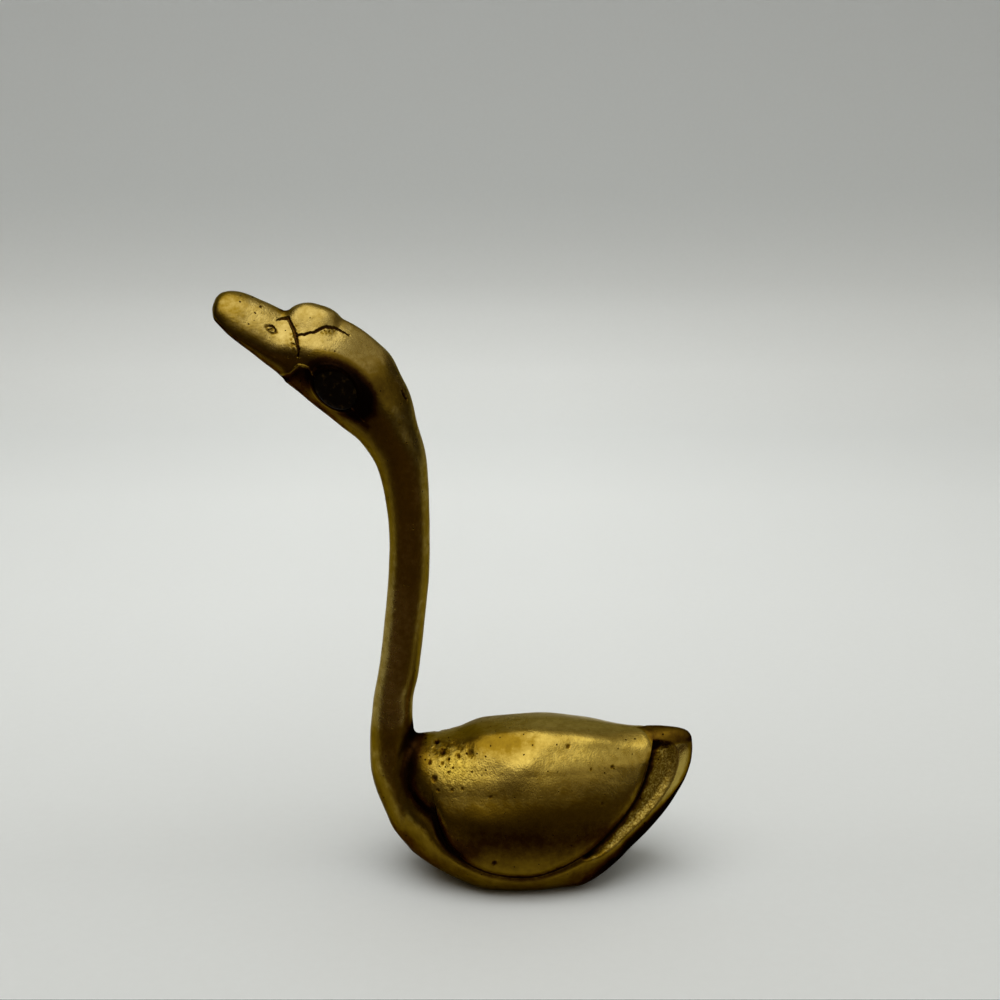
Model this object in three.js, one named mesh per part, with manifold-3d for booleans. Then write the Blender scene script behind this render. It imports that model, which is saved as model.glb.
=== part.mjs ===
// A small cast brass goose: a heavy boat-shaped body that stands on a flat foot, two wing shells let into
// its flanks, and a long neck with the head, set on a dowel in the body's neck stub and brazed all round.
// Millimetres, +Z up, the goose faces -X, and the origin is the middle of the foot.
import * as THREE from "three";
import { mergeVertices } from "three/addons/utils/BufferGeometryUtils.js";
import Module from "manifold-3d";

const wasm = await Module();
wasm.setup();

// Body
const BODY_LENGTH = 63.4; // breast to tail tip
const BODY_HEIGHT = 30.3; // foot to the top of the back, without the wings
const BODY_WIDTH = 31.0; // across the flanks, without the wings
const FLANK_FULLNESS = 2.4; // how square the lower half of the body's section is, where 2 is an ellipse
const BREAST_THICKNESS = 11.0; // the breast's rounded front, seen from the side
const BREAST_WIDTH = 16.0;
const BREAST_FRONT = -28.6; // x of the foremost point of the breast
const FOOT_CUT = 1.7; // how much of the round keel is ground away to make the foot flat

// Wing shells
const WING_SEAT_DEPTH = 2.4; // depth of the wing's pocket in the flank
const WING_PROUD = 0.6; // how far the wing's face stands out of the flank
const EDGE_GAP = 0.6; // the open line round the wing
const SEAT_GAP = 0.3; // solder film between the wing and its pocket
const BACK_SEAM = 0.4; // between the two wings along the middle of the back

// Tail
const TAIL_DISH_DEPTH = 1.4; // the hollow behind the wing, inside the tail's rim

// Neck and head
const NECK_SETBACK = 4.9; // neck's middle behind the breast's front, at the seam
const SEAM_HEIGHT = 35.2; // the neck's joint with the body, above the floor
const NECK_HEIGHT = 58.0; // from the seam up to the middle of the nape
const NECK_THICKNESS = 7.4;
const NECK_SWAY = 3.4; // how far the neck's middle leans back between seam and head
const STUB_HEIGHT = 7.2; // from the breast's top row up to the seam
const HEAD_REACH = 19.8; // from the seam forward to the bill's root
const HEAD_RISE = 12.4; // from the nape up to the bill's root
const HEAD_HEIGHT = 16.4; // across crown and throat, at the eye
const HEAD_WIDTH = 13.6;
const BILL_LENGTH = 11.6; // from its root to its tip
const BILL_HEIGHT = 10.2; // at its root
const BILL_WIDTH = 12.4;
const CROWN_RIDGE = 0.6; // how far the upper half of head and bill is drawn in to a ridge
const CHEEK_FULLNESS = 0.6; // how square the lower half of the head is, where 0 is an ellipse
const KNOB_LENGTH = 11.0; // the bulge on the forehead
const KNOB_WIDTH = 8.4;
const KNOB_RISE = 1.4; // above the crown's line
const NOSTRIL_LENGTH = 2.0;
const NOSTRIL_DEPTH = 0.7;
const COLLAR_RADIUS = 4.2; // the line round the bill's root, seen from the side
const COLLAR_WIDTH = 0.8;
const COLLAR_DEPTH = 0.5;

// Set-in eyes
const EYE_LENGTH = 9.4;
const EYE_HEIGHT = 7.0;
const EYE_DEPTH = 2.8; // from its face to its back
const EYE_SUNK = 0.6; // how deep the middle of the eye lies in the cheek
const EYE_GAP = 0.3;

// Neck joint
const DOWEL_DIAMETER = 3.0;
const DOWEL_IN_NECK = 10.0; // how far the dowel reaches up from the seam
const DOWEL_IN_BODY = 7.0; // and down
const DOWEL_GAP = 0.3; // round the dowel and past its ends
const BRAZE_THICKNESS = 0.4; // the film of brazing metal in the seam
const BRAZE_BEAD = 0.15; // how far it stands out

const BODY_RINGS = 36;
const BODY_SIDES = 40;
const NECK_RINGS = 69;
const NECK_SIDES = 24;
const REACH = 200; // longer than anything here, for cutting tools

// A closed geometry as a solid that can be joined and cut.
function solid(geometry) {
  const bare = geometry.clone();
  bare.deleteAttribute("normal");
  bare.deleteAttribute("uv");
  const merged = mergeVertices(bare, 1e-4);
  return new wasm.Manifold(
    new wasm.Mesh({
      numProp: 3,
      vertProperties: new Float32Array(merged.attributes.position.array),
      triVerts: new Uint32Array(merged.index.array),
    }),
  );
}

// A solid back as a geometry.
function geometryOf(shape) {
  const mesh = shape.getMesh();
  const geometry = new THREE.BufferGeometry();
  geometry.setAttribute("position", new THREE.BufferAttribute(new Float32Array(mesh.vertProperties), 3));
  geometry.setIndex(new THREE.BufferAttribute(new Uint32Array(mesh.triVerts), 1));
  const faceted = geometry.toNonIndexed();
  faceted.computeVertexNormals();
  return faceted;
}

// A sphere whose rings are laid out afresh: place(share, up, side) gives the point at that share of the way
// from pole to pole, where up and side are the cosine and sine of the angle round the ring.
function mould(rings, sides, place) {
  const geometry = new THREE.SphereGeometry(1, sides, rings);
  const points = geometry.attributes.position;
  const unit = new THREE.Vector3();
  for (let i = 0; i < points.count; i++) {
    unit.fromBufferAttribute(points, i);
    const share = Math.acos(THREE.MathUtils.clamp(-unit.y, -1, 1)) / Math.PI;
    const angle = Math.atan2(unit.z, unit.x);
    const point = place(share, Math.cos(angle), Math.sin(angle));
    points.setXYZ(i, point.x, point.y, point.z);
  }
  return geometry;
}

// A smooth curve through rows of three numbers.
function curveThrough(rows) {
  const points = rows.map((row) => new THREE.Vector3(...row));
  return new THREE.CatmullRomCurve3(points, false, "catmullrom", 0.5);
}

// A half size let out by a distance, or taken in, by less where the form runs out to a point.
function letOutBy(size, distance) {
  const full = Math.max(1.3 * Math.abs(distance), 0.01);
  return size + distance * Math.min(1, size / full);
}

function box(low, high) {
  const size = new THREE.Vector3().subVectors(high, low);
  const middle = new THREE.Vector3().addVectors(low, high).multiplyScalar(0.5);
  return solid(new THREE.BoxGeometry(size.x, size.y, size.z).translate(middle.x, middle.y, middle.z));
}
const below = (z) => box(new THREE.Vector3(-REACH, -REACH, -REACH), new THREE.Vector3(REACH, REACH, z));
const above = (z) => box(new THREE.Vector3(-REACH, -REACH, z), new THREE.Vector3(REACH, REACH, REACH));

// Body shape, from inside the breast to the tail: how far along, then the heights of the keel, the widest
// line and the crest as shares of the height before the foot is ground, and the share of the body's width.
const BODY_SHAPE = [
  [0.05, 0.6, 0.6, 0.6, 0.0],
  [0.06, 0.46, 0.58, 0.77, 0.2],
  [0.1, 0.34, 0.54, 0.87, 0.4],
  [0.15, 0.22, 0.5, 0.915, 0.62],
  [0.21, 0.115, 0.41, 0.92, 0.82],
  [0.29, 0.04, 0.34, 0.945, 0.94],
  [0.37, 0.0, 0.29, 0.975, 1.0],
  [0.53, 0.0, 0.28, 1.0, 1.0],
  [0.67, 0.04, 0.33, 0.98, 0.88],
  [0.8, 0.215, 0.46, 0.968, 0.62],
  [0.9, 0.401, 0.61, 0.975, 0.38],
  [0.965, 0.586, 0.74, 0.962, 0.18],
  [0.993, 0.726, 0.825, 0.92, 0.08],
  [1.0, 0.825, 0.825, 0.825, 0.0],
];
const bodyX = (along) => BREAST_FRONT + along * BODY_LENGTH;
const bodyZ = (share) => share * (BODY_HEIGHT + FOOT_CUT) - FOOT_CUT;
const bodyProfile = curveThrough(
  BODY_SHAPE.map(([along, keel, , crest]) => [bodyX(along), bodyZ(keel), bodyZ(crest)]),
);
const bodyBeam = curveThrough(
  BODY_SHAPE.map(([, , widest, , width]) => [bodyZ(widest), (width * BODY_WIDTH) / 2, 0]),
);

// The body's whole outer form, let out by a distance.
function bodyForm(letOut) {
  return solid(
    mould(BODY_RINGS, BODY_SIDES, (share, up, side) => {
      const { x, y: keel, z: crest } = bodyProfile.getPoint(share);
      const { x: widest, y: half } = bodyBeam.getPoint(share);
      const height = letOutBy(up > 0 ? crest - widest : widest - keel, letOut);
      const bend = up > 0 ? 1 : 2 / FLANK_FULLNESS;
      const y = Math.sign(side) * Math.abs(side) ** bend * letOutBy(half, letOut);
      return new THREE.Vector3(x, y, widest + Math.sign(up) * Math.abs(up) ** bend * height);
    }),
  );
}

// Breast, from the keel up to the neck: shares along the body and of its height, then of the breast's
// thickness and width.
const BREAST_SHAPE = [
  [0.404, 0.15, 0.0, 0.0],
  [0.38, 0.156, 0.218, 0.344],
  [0.24, 0.213, 0.364, 0.488],
  [0.159, 0.398, 0.455, 0.5],
  [0.11, 0.583, 0.5, 0.45],
  [0.083, 0.71, 0.459, 0.4],
  [0.073, 0.825, 0.418, 0.35],
];

// Neck and head, going on from the breast: x and z of the middle line, half the height and half the width
// of the section, how far its widest line lies below the middle, and how much of the ridge it has.
const seamX = BREAST_FRONT + NECK_SETBACK;
const seamZ = (share) => SEAM_HEIGHT - share * STUB_HEIGHT;
const neckZ = (share) => SEAM_HEIGHT + share * NECK_HEIGHT;
const swayX = (share) => seamX + share * NECK_SWAY;
const headX = (share) => seamX - share * HEAD_REACH;
const headZ = (share) => neckZ(1) + share * HEAD_RISE;
const neckRadius = NECK_THICKNESS / 2;
const neckRows = [
  [swayX(-0.09), seamZ(1), neckRadius * 1.18, neckRadius * 1.32, 0, 0],
  [swayX(-0.07), seamZ(0.55), neckRadius * 1.1, neckRadius * 1.18, 0, 0],
  [swayX(0), seamZ(0), neckRadius * 1.03, neckRadius * 1.03, 0, 0],
  [swayX(0.38), neckZ(0.143), neckRadius, neckRadius, 0, 0],
  [swayX(0.91), neckZ(0.414), neckRadius, neckRadius, 0, 0],
  [swayX(1), neckZ(0.6), neckRadius, neckRadius, 0, 0],
  [swayX(0.71), neckZ(0.79), neckRadius * 1.2, neckRadius * 1.15, 0, 0.1],
  [swayX(0.12), neckZ(0.9), neckRadius * 1.45, neckRadius * 1.4, 0, 0.4],
  [headX(0.141), headZ(0.016), HEAD_HEIGHT * 0.44, HEAD_WIDTH * 0.45, 0, 0.8],
  [headX(0.455), headZ(0.566), HEAD_HEIGHT * 0.5, HEAD_WIDTH * 0.5, 0, 1],
  [headX(0.778), headZ(0.852), HEAD_HEIGHT * 0.43, HEAD_WIDTH * 0.48, 0.15, 1],
];
for (const [along, up, height, width] of BREAST_SHAPE.toReversed()) {
  neckRows.unshift([bodyX(along), bodyZ(up), height * BREAST_THICKNESS, width * BREAST_WIDTH, 0, 0]);
}
const FOREHEAD_ROW = neckRows.length - 1;
const NAPE_ROW = FOREHEAD_ROW - 2;

// Bill: how far along and how far up, as shares of its length, then shares of its height and its width,
// and the same two numbers for its widest line and ridge.
const BILL_SHAPE = [
  [0.0, 0.0, 0.5, 0.5, 0.4, 1],
  [0.38, 0.24, 0.43, 0.47, 0.6, 1],
  [0.65, 0.4, 0.37, 0.43, 0.65, 0.9],
  [0.87, 0.49, 0.28, 0.33, 0.5, 0.6],
  [0.97, 0.525, 0.15, 0.18, 0.2, 0.2],
  [1.0, 0.535, 0.0, 0.0, 0, 0],
];
const billRoot = new THREE.Vector3(headX(1), 0, headZ(1));
for (const [along, rise, height, width, low, ridge] of BILL_SHAPE) {
  const x = billRoot.x - along * BILL_LENGTH;
  const z = billRoot.z + rise * BILL_LENGTH;
  neckRows.push([x, z, height * BILL_HEIGHT, width * BILL_WIDTH, low, ridge]);
}
const neckLine = curveThrough(neckRows.map(([x, z]) => [x, 0, z]));
const neckSize = curveThrough(neckRows.map(([, , height, width]) => [height, width, 0]));
const neckBend = curveThrough(neckRows.map(([, , , , low, ridge]) => [low, ridge, 0]));
const rowShare = (row) => row / (neckRows.length - 1);

// Half the section's width at an angle round it, and the height there, as shares of its half sizes.
function section(bend, up, side) {
  const ridge = THREE.MathUtils.clamp(bend.y, 0, 1);
  const low = THREE.MathUtils.clamp(bend.x, 0, 1);
  if (up > 0) return { out: side * (1 - CROWN_RIDGE * ridge * up * up), up: up * (1 + low) - low };
  const round = 2 / (2 + CHEEK_FULLNESS * ridge);
  return { out: Math.sign(side) * Math.abs(side) ** round, up: -(Math.abs(up) ** round) * (1 - low) - low };
}

// The distance of the surface from the middle plane, at a height from the middle line.
function cheekAt(share, height) {
  const size = neckSize.getPoint(share);
  const bend = neckBend.getPoint(share);
  let low = 0;
  let high = Math.PI;
  for (let i = 0; i < 40; i++) {
    const angle = (low + high) / 2;
    if (section(bend, Math.cos(angle), Math.sin(angle)).up * size.x > height) low = angle;
    else high = angle;
  }
  return section(bend, Math.cos(low), Math.sin(low)).out * size.y;
}

// The middle line at a share of its length, the directions along it and towards the crown, and the section.
function neckFrame(share) {
  const along = neckLine.getTangent(share);
  const crown = new THREE.Vector3(along.z, 0, -along.x);
  const bend = neckBend.getPoint(share);
  return { at: neckLine.getPoint(share), along, crown, size: neckSize.getPoint(share), bend };
}

// The neck's and head's whole outer form, let out by a distance.
function neckForm(letOut) {
  return solid(
    mould(NECK_RINGS, NECK_SIDES, (share, up, side) => {
      const { at, crown, size, bend } = neckFrame(share);
      const edge = section(bend, up, side);
      const point = at.clone().addScaledVector(crown, edge.up * letOutBy(size.x, letOut));
      point.y -= edge.out * letOutBy(size.y, letOut);
      return point;
    }),
  );
}

// A ball squeezed to three half sizes and turned to lie along the middle line.
function bead(share, half, towardsCrown, towardsSide) {
  const { at, along, crown } = neckFrame(share);
  const sideways = new THREE.Vector3().crossVectors(crown, along);
  const turn = new THREE.Matrix4().makeBasis(along, sideways, crown);
  const middle = at.clone().addScaledVector(crown, towardsCrown);
  return new THREE.SphereGeometry(1, 20, 12)
    .scale(half.x, half.y, half.z)
    .applyMatrix4(turn)
    .translate(middle.x, middle.y + towardsSide, middle.z);
}

// The share of the middle line at which it crosses the seam.
function shareAtSeam() {
  let low = 0;
  let high = rowShare(NAPE_ROW);
  for (let i = 0; i < 40; i++) {
    const middle = (low + high) / 2;
    if (neckLine.getPoint(middle).z < SEAM_HEIGHT) low = middle;
    else high = middle;
  }
  return low;
}
const seamFrame = neckFrame(shareAtSeam());
const stubTop = SEAM_HEIGHT - BRAZE_THICKNESS / 2;
const neckFoot = SEAM_HEIGHT + BRAZE_THICKNESS / 2;

function dowelGeometry(letOut) {
  const radius = DOWEL_DIAMETER / 2 + letOut;
  const length = DOWEL_IN_NECK + DOWEL_IN_BODY + 2 * letOut;
  const turn = new THREE.Quaternion().setFromUnitVectors(new THREE.Vector3(0, 1, 0), seamFrame.along);
  const middle = seamFrame.at.clone().addScaledVector(seamFrame.along, (DOWEL_IN_NECK - DOWEL_IN_BODY) / 2);
  return new THREE.CylinderGeometry(radius, radius, length, 24)
    .applyQuaternion(turn)
    .translate(middle.x, middle.y, middle.z);
}
const dowelHole = solid(dowelGeometry(DOWEL_GAP));

// Outline of the wing seen from the side, from the shoulder round below to the tail: shares along the body
// and of the height before the foot is ground. It ends above the back, where the two wings meet.
const WING_OUTLINE = [
  [0.185, 1.2],
  [0.187, 0.99],
  [0.19, 0.88],
  [0.197, 0.8],
  [0.208, 0.705],
  [0.217, 0.605],
  [0.223, 0.51],
  [0.238, 0.422],
  [0.27, 0.35],
  [0.315, 0.293],
  [0.378, 0.245],
  [0.446, 0.224],
  [0.508, 0.226],
  [0.57, 0.264],
  [0.628, 0.315],
  [0.674, 0.367],
  [0.719, 0.433],
  [0.764, 0.515],
  [0.799, 0.595],
  [0.824, 0.685],
  [0.843, 0.785],
  [0.858, 0.885],
  [0.866, 0.99],
  [0.872, 1.2],
];

// Outline of the hollow behind the wing, in the same shares.
const DISH_OUTLINE = [
  [0.84, 0.918],
  [0.875, 0.915],
  [0.908, 0.905],
  [0.931, 0.88],
  [0.943, 0.808],
  [0.929, 0.69],
  [0.888, 0.58],
  [0.845, 0.5],
  [0.797, 0.428],
  [0.745, 0.358],
  [0.694, 0.313],
  [0.655, 0.318],
  [0.7, 0.44],
  [0.76, 0.56],
  [0.8, 0.68],
  [0.825, 0.8],
];

// A slab that runs across the body from one y to another, with a smooth outline that can be let out.
function sideSlab(outline, letOut, from, to) {
  const corners = outline.map(([along, height]) => new THREE.Vector2(bodyX(along), bodyZ(height)));
  const middle = new THREE.Vector2();
  corners.forEach((corner) => middle.addScaledVector(corner, 1 / corners.length));
  const moved = corners.map((corner) => {
    const outwards = corner.clone().sub(middle).normalize();
    return corner.clone().addScaledVector(outwards, letOut);
  });
  const shape = new THREE.Shape(new THREE.SplineCurve(moved).getPoints(48));
  const slab = new THREE.ExtrudeGeometry(shape, { depth: to - from, bevelEnabled: false });
  return solid(slab.rotateX(Math.PI / 2).translate(0, to, 0));
}

const bareBody = bodyForm(0);
const bareNeck = neckForm(0);
const wingPocket = sideSlab(WING_OUTLINE, EDGE_GAP, -REACH, REACH).subtract(bodyForm(-WING_SEAT_DEPTH));
const wingShell = bodyForm(WING_PROUD).subtract(bodyForm(SEAT_GAP - WING_SEAT_DEPTH));
const tailDish = sideSlab(DISH_OUTLINE, 0, -REACH, REACH).subtract(bodyForm(-TAIL_DISH_DEPTH));

function bodyCasting() {
  return bareBody
    .add(bareNeck.intersect(below(stubTop)))
    .subtract(wingPocket)
    .subtract(tailDish)
    .subtract(dowelHole)
    .subtract(below(0));
}

// One wing shell: side is 1 for the goose's right and -1 for its left.
function wing(side) {
  const from = side > 0 ? BACK_SEAM / 2 : -REACH;
  const to = side > 0 ? REACH : -BACK_SEAM / 2;
  return wingShell.intersect(sideSlab(WING_OUTLINE, 0, from, to)).subtract(neckForm(EDGE_GAP));
}

const EYE_ROW = NAPE_ROW + 0.75;
const EYE_DROP = 0.14; // below the middle line, as a share of the head's height

function eyeGeometry(side, letOut) {
  const share = rowShare(EYE_ROW);
  const half = new THREE.Vector3(EYE_LENGTH, EYE_DEPTH, EYE_HEIGHT).multiplyScalar(0.5).addScalar(letOut);
  const drop = HEAD_HEIGHT * EYE_DROP;
  return bead(share, half, -drop, side * (cheekAt(share, -drop) - EYE_SUNK));
}

const KNOB_ROW = FOREHEAD_ROW + 0.05;
const NOSTRIL_ROW = FOREHEAD_ROW + 1.25;
const NOSTRIL_UP = 0.3; // above the bill's middle line, as a share of its half height

function knobGeometry() {
  const share = rowShare(KNOB_ROW);
  const half = new THREE.Vector3(KNOB_LENGTH / 2, KNOB_WIDTH / 2, KNOB_WIDTH * 0.45);
  return bead(share, half, neckSize.getPoint(share).x + KNOB_RISE - half.z, 0);
}

function nostrilGeometry(side) {
  const share = rowShare(NOSTRIL_ROW);
  const size = neckSize.getPoint(share);
  const half = new THREE.Vector3(NOSTRIL_LENGTH / 2, NOSTRIL_DEPTH, NOSTRIL_LENGTH * 0.3);
  return bead(share, half, size.x * NOSTRIL_UP, side * cheekAt(share, size.x * NOSTRIL_UP));
}

// The line that curves round the bill's root on both sides of the head.
function collarCut() {
  const shape = new THREE.Shape();
  const inner = COLLAR_RADIUS - COLLAR_WIDTH / 2;
  const outer = COLLAR_RADIUS + COLLAR_WIDTH / 2;
  const start = -0.25 * Math.PI;
  const end = 0.52 * Math.PI;
  shape.absarc(0, 0, outer, start, end, false);
  shape.absarc(0, 0, inner, end, start, true);
  const ring = new THREE.ExtrudeGeometry(shape, { depth: REACH, bevelEnabled: false, curveSegments: 10 });
  ring.rotateX(Math.PI / 2).translate(billRoot.x, REACH / 2, billRoot.z);
  return solid(ring).subtract(neckForm(-COLLAR_DEPTH));
}

function neckAndHead() {
  let shape = bareNeck.intersect(above(neckFoot)).subtract(collarCut()).add(solid(knobGeometry()));
  for (const side of [-1, 1]) {
    shape = shape.subtract(solid(nostrilGeometry(side))).subtract(solid(eyeGeometry(side, EYE_GAP)));
  }
  return shape.subtract(dowelHole);
}

function brazeRing() {
  return neckForm(BRAZE_BEAD).intersect(below(neckFoot)).intersect(above(stubTop)).subtract(dowelHole);
}

const goose = new THREE.Group();
function addPiece(name, geometry, surface) {
  const mesh = new THREE.Mesh(geometry, new THREE.MeshStandardMaterial(surface));
  mesh.name = name;
  goose.add(mesh);
}
const AGED_BRASS = { color: 0x8a6a2a, roughness: 0.35, metalness: 1.0 };
const DRAWN_BRASS = { color: 0xb08d45, roughness: 0.3, metalness: 1.0 };
const BRAZING_BRASS = { color: 0x9c7a38, roughness: 0.4, metalness: 1.0 };
const DARK_EYE = { color: 0x14130f, roughness: 0.3, metalness: 0.2 };
addPiece("body_casting", geometryOf(bodyCasting()), AGED_BRASS);
addPiece("left_wing", geometryOf(wing(-1)), AGED_BRASS);
addPiece("right_wing", geometryOf(wing(1)), AGED_BRASS);
addPiece("neck_and_head", geometryOf(neckAndHead()), AGED_BRASS);
addPiece("neck_dowel", dowelGeometry(0), DRAWN_BRASS);
addPiece("neck_braze", geometryOf(brazeRing()), BRAZING_BRASS);
addPiece("left_eye", eyeGeometry(-1, 0), DARK_EYE);
addPiece("right_eye", eyeGeometry(1, 0), DARK_EYE);

export default goose;
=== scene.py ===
"""A worn cast brass goose on a pale floor, dressed over its CAD frame."""
import math

import bmesh
import bpy
import numpy as np
from bpy.props import FloatProperty, FloatVectorProperty, PointerProperty
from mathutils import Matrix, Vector


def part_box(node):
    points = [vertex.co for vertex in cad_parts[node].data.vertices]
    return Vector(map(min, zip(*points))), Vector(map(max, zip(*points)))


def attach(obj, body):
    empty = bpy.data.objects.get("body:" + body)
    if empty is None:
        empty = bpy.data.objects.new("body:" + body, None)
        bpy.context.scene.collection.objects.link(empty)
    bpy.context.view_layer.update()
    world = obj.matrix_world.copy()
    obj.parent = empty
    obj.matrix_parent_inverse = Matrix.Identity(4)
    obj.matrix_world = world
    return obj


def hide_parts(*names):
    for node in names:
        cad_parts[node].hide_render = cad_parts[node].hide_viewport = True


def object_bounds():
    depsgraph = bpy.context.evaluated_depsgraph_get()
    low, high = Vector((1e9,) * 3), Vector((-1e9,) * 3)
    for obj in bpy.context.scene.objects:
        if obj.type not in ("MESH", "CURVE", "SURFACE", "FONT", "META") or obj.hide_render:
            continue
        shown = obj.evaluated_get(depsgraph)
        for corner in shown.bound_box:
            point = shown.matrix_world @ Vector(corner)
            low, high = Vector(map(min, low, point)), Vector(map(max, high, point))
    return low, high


bl_info = {
    "name": "Brass Goose",
    "version": (1, 0, 0),
    "blender": (4, 5, 0),
    "location": "3D View > Sidebar > Goose",
    "description": "Builds a worn cast brass goose over its CAD frame, and the pale set that it stands on",
    "category": "Object",
}

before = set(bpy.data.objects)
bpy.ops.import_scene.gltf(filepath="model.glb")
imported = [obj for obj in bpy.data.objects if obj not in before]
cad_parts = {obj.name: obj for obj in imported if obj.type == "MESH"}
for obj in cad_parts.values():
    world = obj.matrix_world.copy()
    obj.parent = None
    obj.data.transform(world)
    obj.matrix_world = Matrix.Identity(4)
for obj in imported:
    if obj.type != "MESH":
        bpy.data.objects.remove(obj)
cad_box = [list(corner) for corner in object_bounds()]
MM = 0.001


def cad(node, corner, axis):
    """One coordinate of a CAD node's box in millimetres: corner 0 is the lowest and 1 the highest."""
    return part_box(node)[corner][axis] / MM


def length(name, description, millimetres):
    """A size that shows in the panel, given in millimetres."""
    return FloatProperty(
        name=name, description=description, default=millimetres * MM, precision=5, subtype="DISTANCE", unit="LENGTH"
    )


def linear(code):
    """An sRGB hex colour as linear red, green, blue and alpha."""
    parts = [int(code[i : i + 2], 16) / 255 for i in (0, 2, 4)]
    return [c / 12.92 if c <= 0.04045 else ((c + 0.055) / 1.055) ** 2.4 for c in parts] + [1.0]


def colour(name, description, code):
    """A colour that shows in the panel, given as sRGB hex."""
    return FloatVectorProperty(
        name=name, description=description, default=linear(code), size=4, min=0, max=1, subtype="COLOR"
    )


class GooseSizes(bpy.types.PropertyGroup):
    """Sizes of the goose, the same as the CAD model's."""

    breast_front: length("Breast front", "Where the breast begins", -28.6)
    body_length: length("Body length", "From the breast to the tail's tip", 63.4)
    body_height: length("Body height", "From the foot to the top of the back, under the wings", 30.3)
    body_width: length("Body width", "Across the flanks, under the wings", 31.0)
    breast_thickness: length("Breast thickness", "Of the breast's rounded front, seen from the side", 11.0)
    breast_width: length("Breast width", "Across the breast's rounded front", 16.0)
    foot_cut: length("Foot cut", "How much of the keel is ground away for the foot", 1.7)
    wing_proud: length("Wing proud", "How far a wing stands out of the flank", 0.6)
    wing_seat: length("Wing seat", "Depth of a wing's pocket in the flank", 2.4)
    edge_gap: length("Edge gap", "The open line round a wing", 0.6)
    seat_gap: length("Seat gap", "Solder film under a wing", 0.3)
    dish_depth: length("Tail dish", "Depth of the rough hollow behind a wing", 1.4)
    seam_low: length("Seam low", "Bottom of the brazed seam in the neck", cad("neck_braze", 0, 2))
    seam_high: length("Seam high", "Top of the brazed seam in the neck", cad("neck_braze", 1, 2))
    neck_setback: length("Neck setback", "Neck's middle behind the breast's front", 4.9)
    neck_height: length("Neck height", "From the seam to the nape", 58.0)
    neck_thickness: length("Neck thickness", "Across the neck", 7.4)
    neck_sway: length("Neck sway", "How far the neck leans back between seam and head", 3.4)
    stub_height: length("Stub height", "From the breast's top up to the seam", 7.2)
    head_reach: length("Head reach", "From the seam forward to the bill's root", 19.8)
    head_rise: length("Head rise", "From the nape up to the bill's root", 12.4)
    head_height: length("Head height", "Across crown and throat", 16.4)
    head_width: length("Head width", "Across the cheeks", 13.6)
    bill_length: length("Bill length", "From its root to its tip", 11.6)
    bill_height: length("Bill height", "At its root", 10.2)
    bill_width: length("Bill width", "At its root", 12.4)
    knob_length: length("Knob length", "The bulge on the forehead", 11.0)
    knob_width: length("Knob width", "Across the bulge", 8.4)
    knob_rise: length("Knob rise", "Above the crown's line", 1.4)
    eye_length: length("Eye length", "Along the head", 9.4)
    eye_height: length("Eye height", "Across the head", 7.0)
    body_grain: length("Body grain", "Side of the small faces on the body", 0.28)


class GooseFinish(bpy.types.PropertyGroup):
    """Colours of the worn brass, the eyes and the set."""

    rubbed: colour("Rubbed brass", "Where hands have kept the metal bright", "B09C5C")
    aged: colour("Aged brass", "The usual olive gold film", "745D1A")
    # The tarnish and soot colours also paint shade: where faces look down, in the valley and round the eyes.
    tarnish_and_shading: colour("Tarnish", "Brown oxide in the hollows", "362009")
    soot_and_shade: colour("Soot", "Nearly black film in the grooves and round the eyes", "140A06")
    eye: colour("Eye", "Black set-in eye", "040302")
    paper: colour("Paper", "Floor and backdrop", "E2E7E9")


def in_mm(sizes):
    """All lengths of the panel in millimetres, by name."""
    return {key: getattr(sizes, key) / MM for key in sizes.__annotations__}


def spline(rows, share):
    """Points on a smooth curve through rows, at shares from 0 to 1 of the way."""
    rows = np.asarray(rows, float)
    held = np.vstack([2 * rows[0] - rows[1], rows, 2 * rows[-1] - rows[-2]])
    at = np.clip(np.asarray(share, float), 0, 1) * (len(rows) - 1)
    first = np.minimum(at.astype(int), len(rows) - 2)
    t = (at - first)[:, None]
    a, b, c, d = (held[first + k] for k in range(4))
    return 0.5 * (2 * b + (c - a) * t + (2 * a - 5 * b + 4 * c - d) * t**2 + (3 * b - a - 3 * c + d) * t**3)


def let_out_by(size, distance):
    """A half size let out by a distance, by less where the form runs out to a point."""
    return size + distance * np.minimum(1, size / np.maximum(1.3 * np.abs(distance), 0.01))


# Body, from inside the breast to the tail: how far along, then keel, widest line and crest as shares of the
# height before the foot is ground, and the share of the width.
BODY_SHAPE = np.array([
    [0.05, 0.6, 0.6, 0.6, 0.0],
    [0.06, 0.46, 0.58, 0.77, 0.2],
    [0.1, 0.34, 0.54, 0.87, 0.4],
    [0.15, 0.22, 0.5, 0.915, 0.62],
    [0.21, 0.115, 0.41, 0.92, 0.82],
    [0.29, 0.04, 0.34, 0.945, 0.94],
    [0.37, 0.0, 0.29, 0.975, 1.0],
    [0.53, 0.0, 0.28, 1.0, 1.0],
    [0.67, 0.04, 0.33, 0.98, 0.88],
    [0.8, 0.215, 0.46, 0.968, 0.62],
    [0.9, 0.401, 0.61, 0.975, 0.38],
    [0.965, 0.586, 0.74, 0.962, 0.18],
    [0.993, 0.726, 0.825, 0.92, 0.08],
    [1.0, 0.825, 0.825, 0.825, 0.0],
])
# How square the lower half of the body's section is, where 2 is an ellipse.
FLANK_FULLNESS = 2.4

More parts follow.
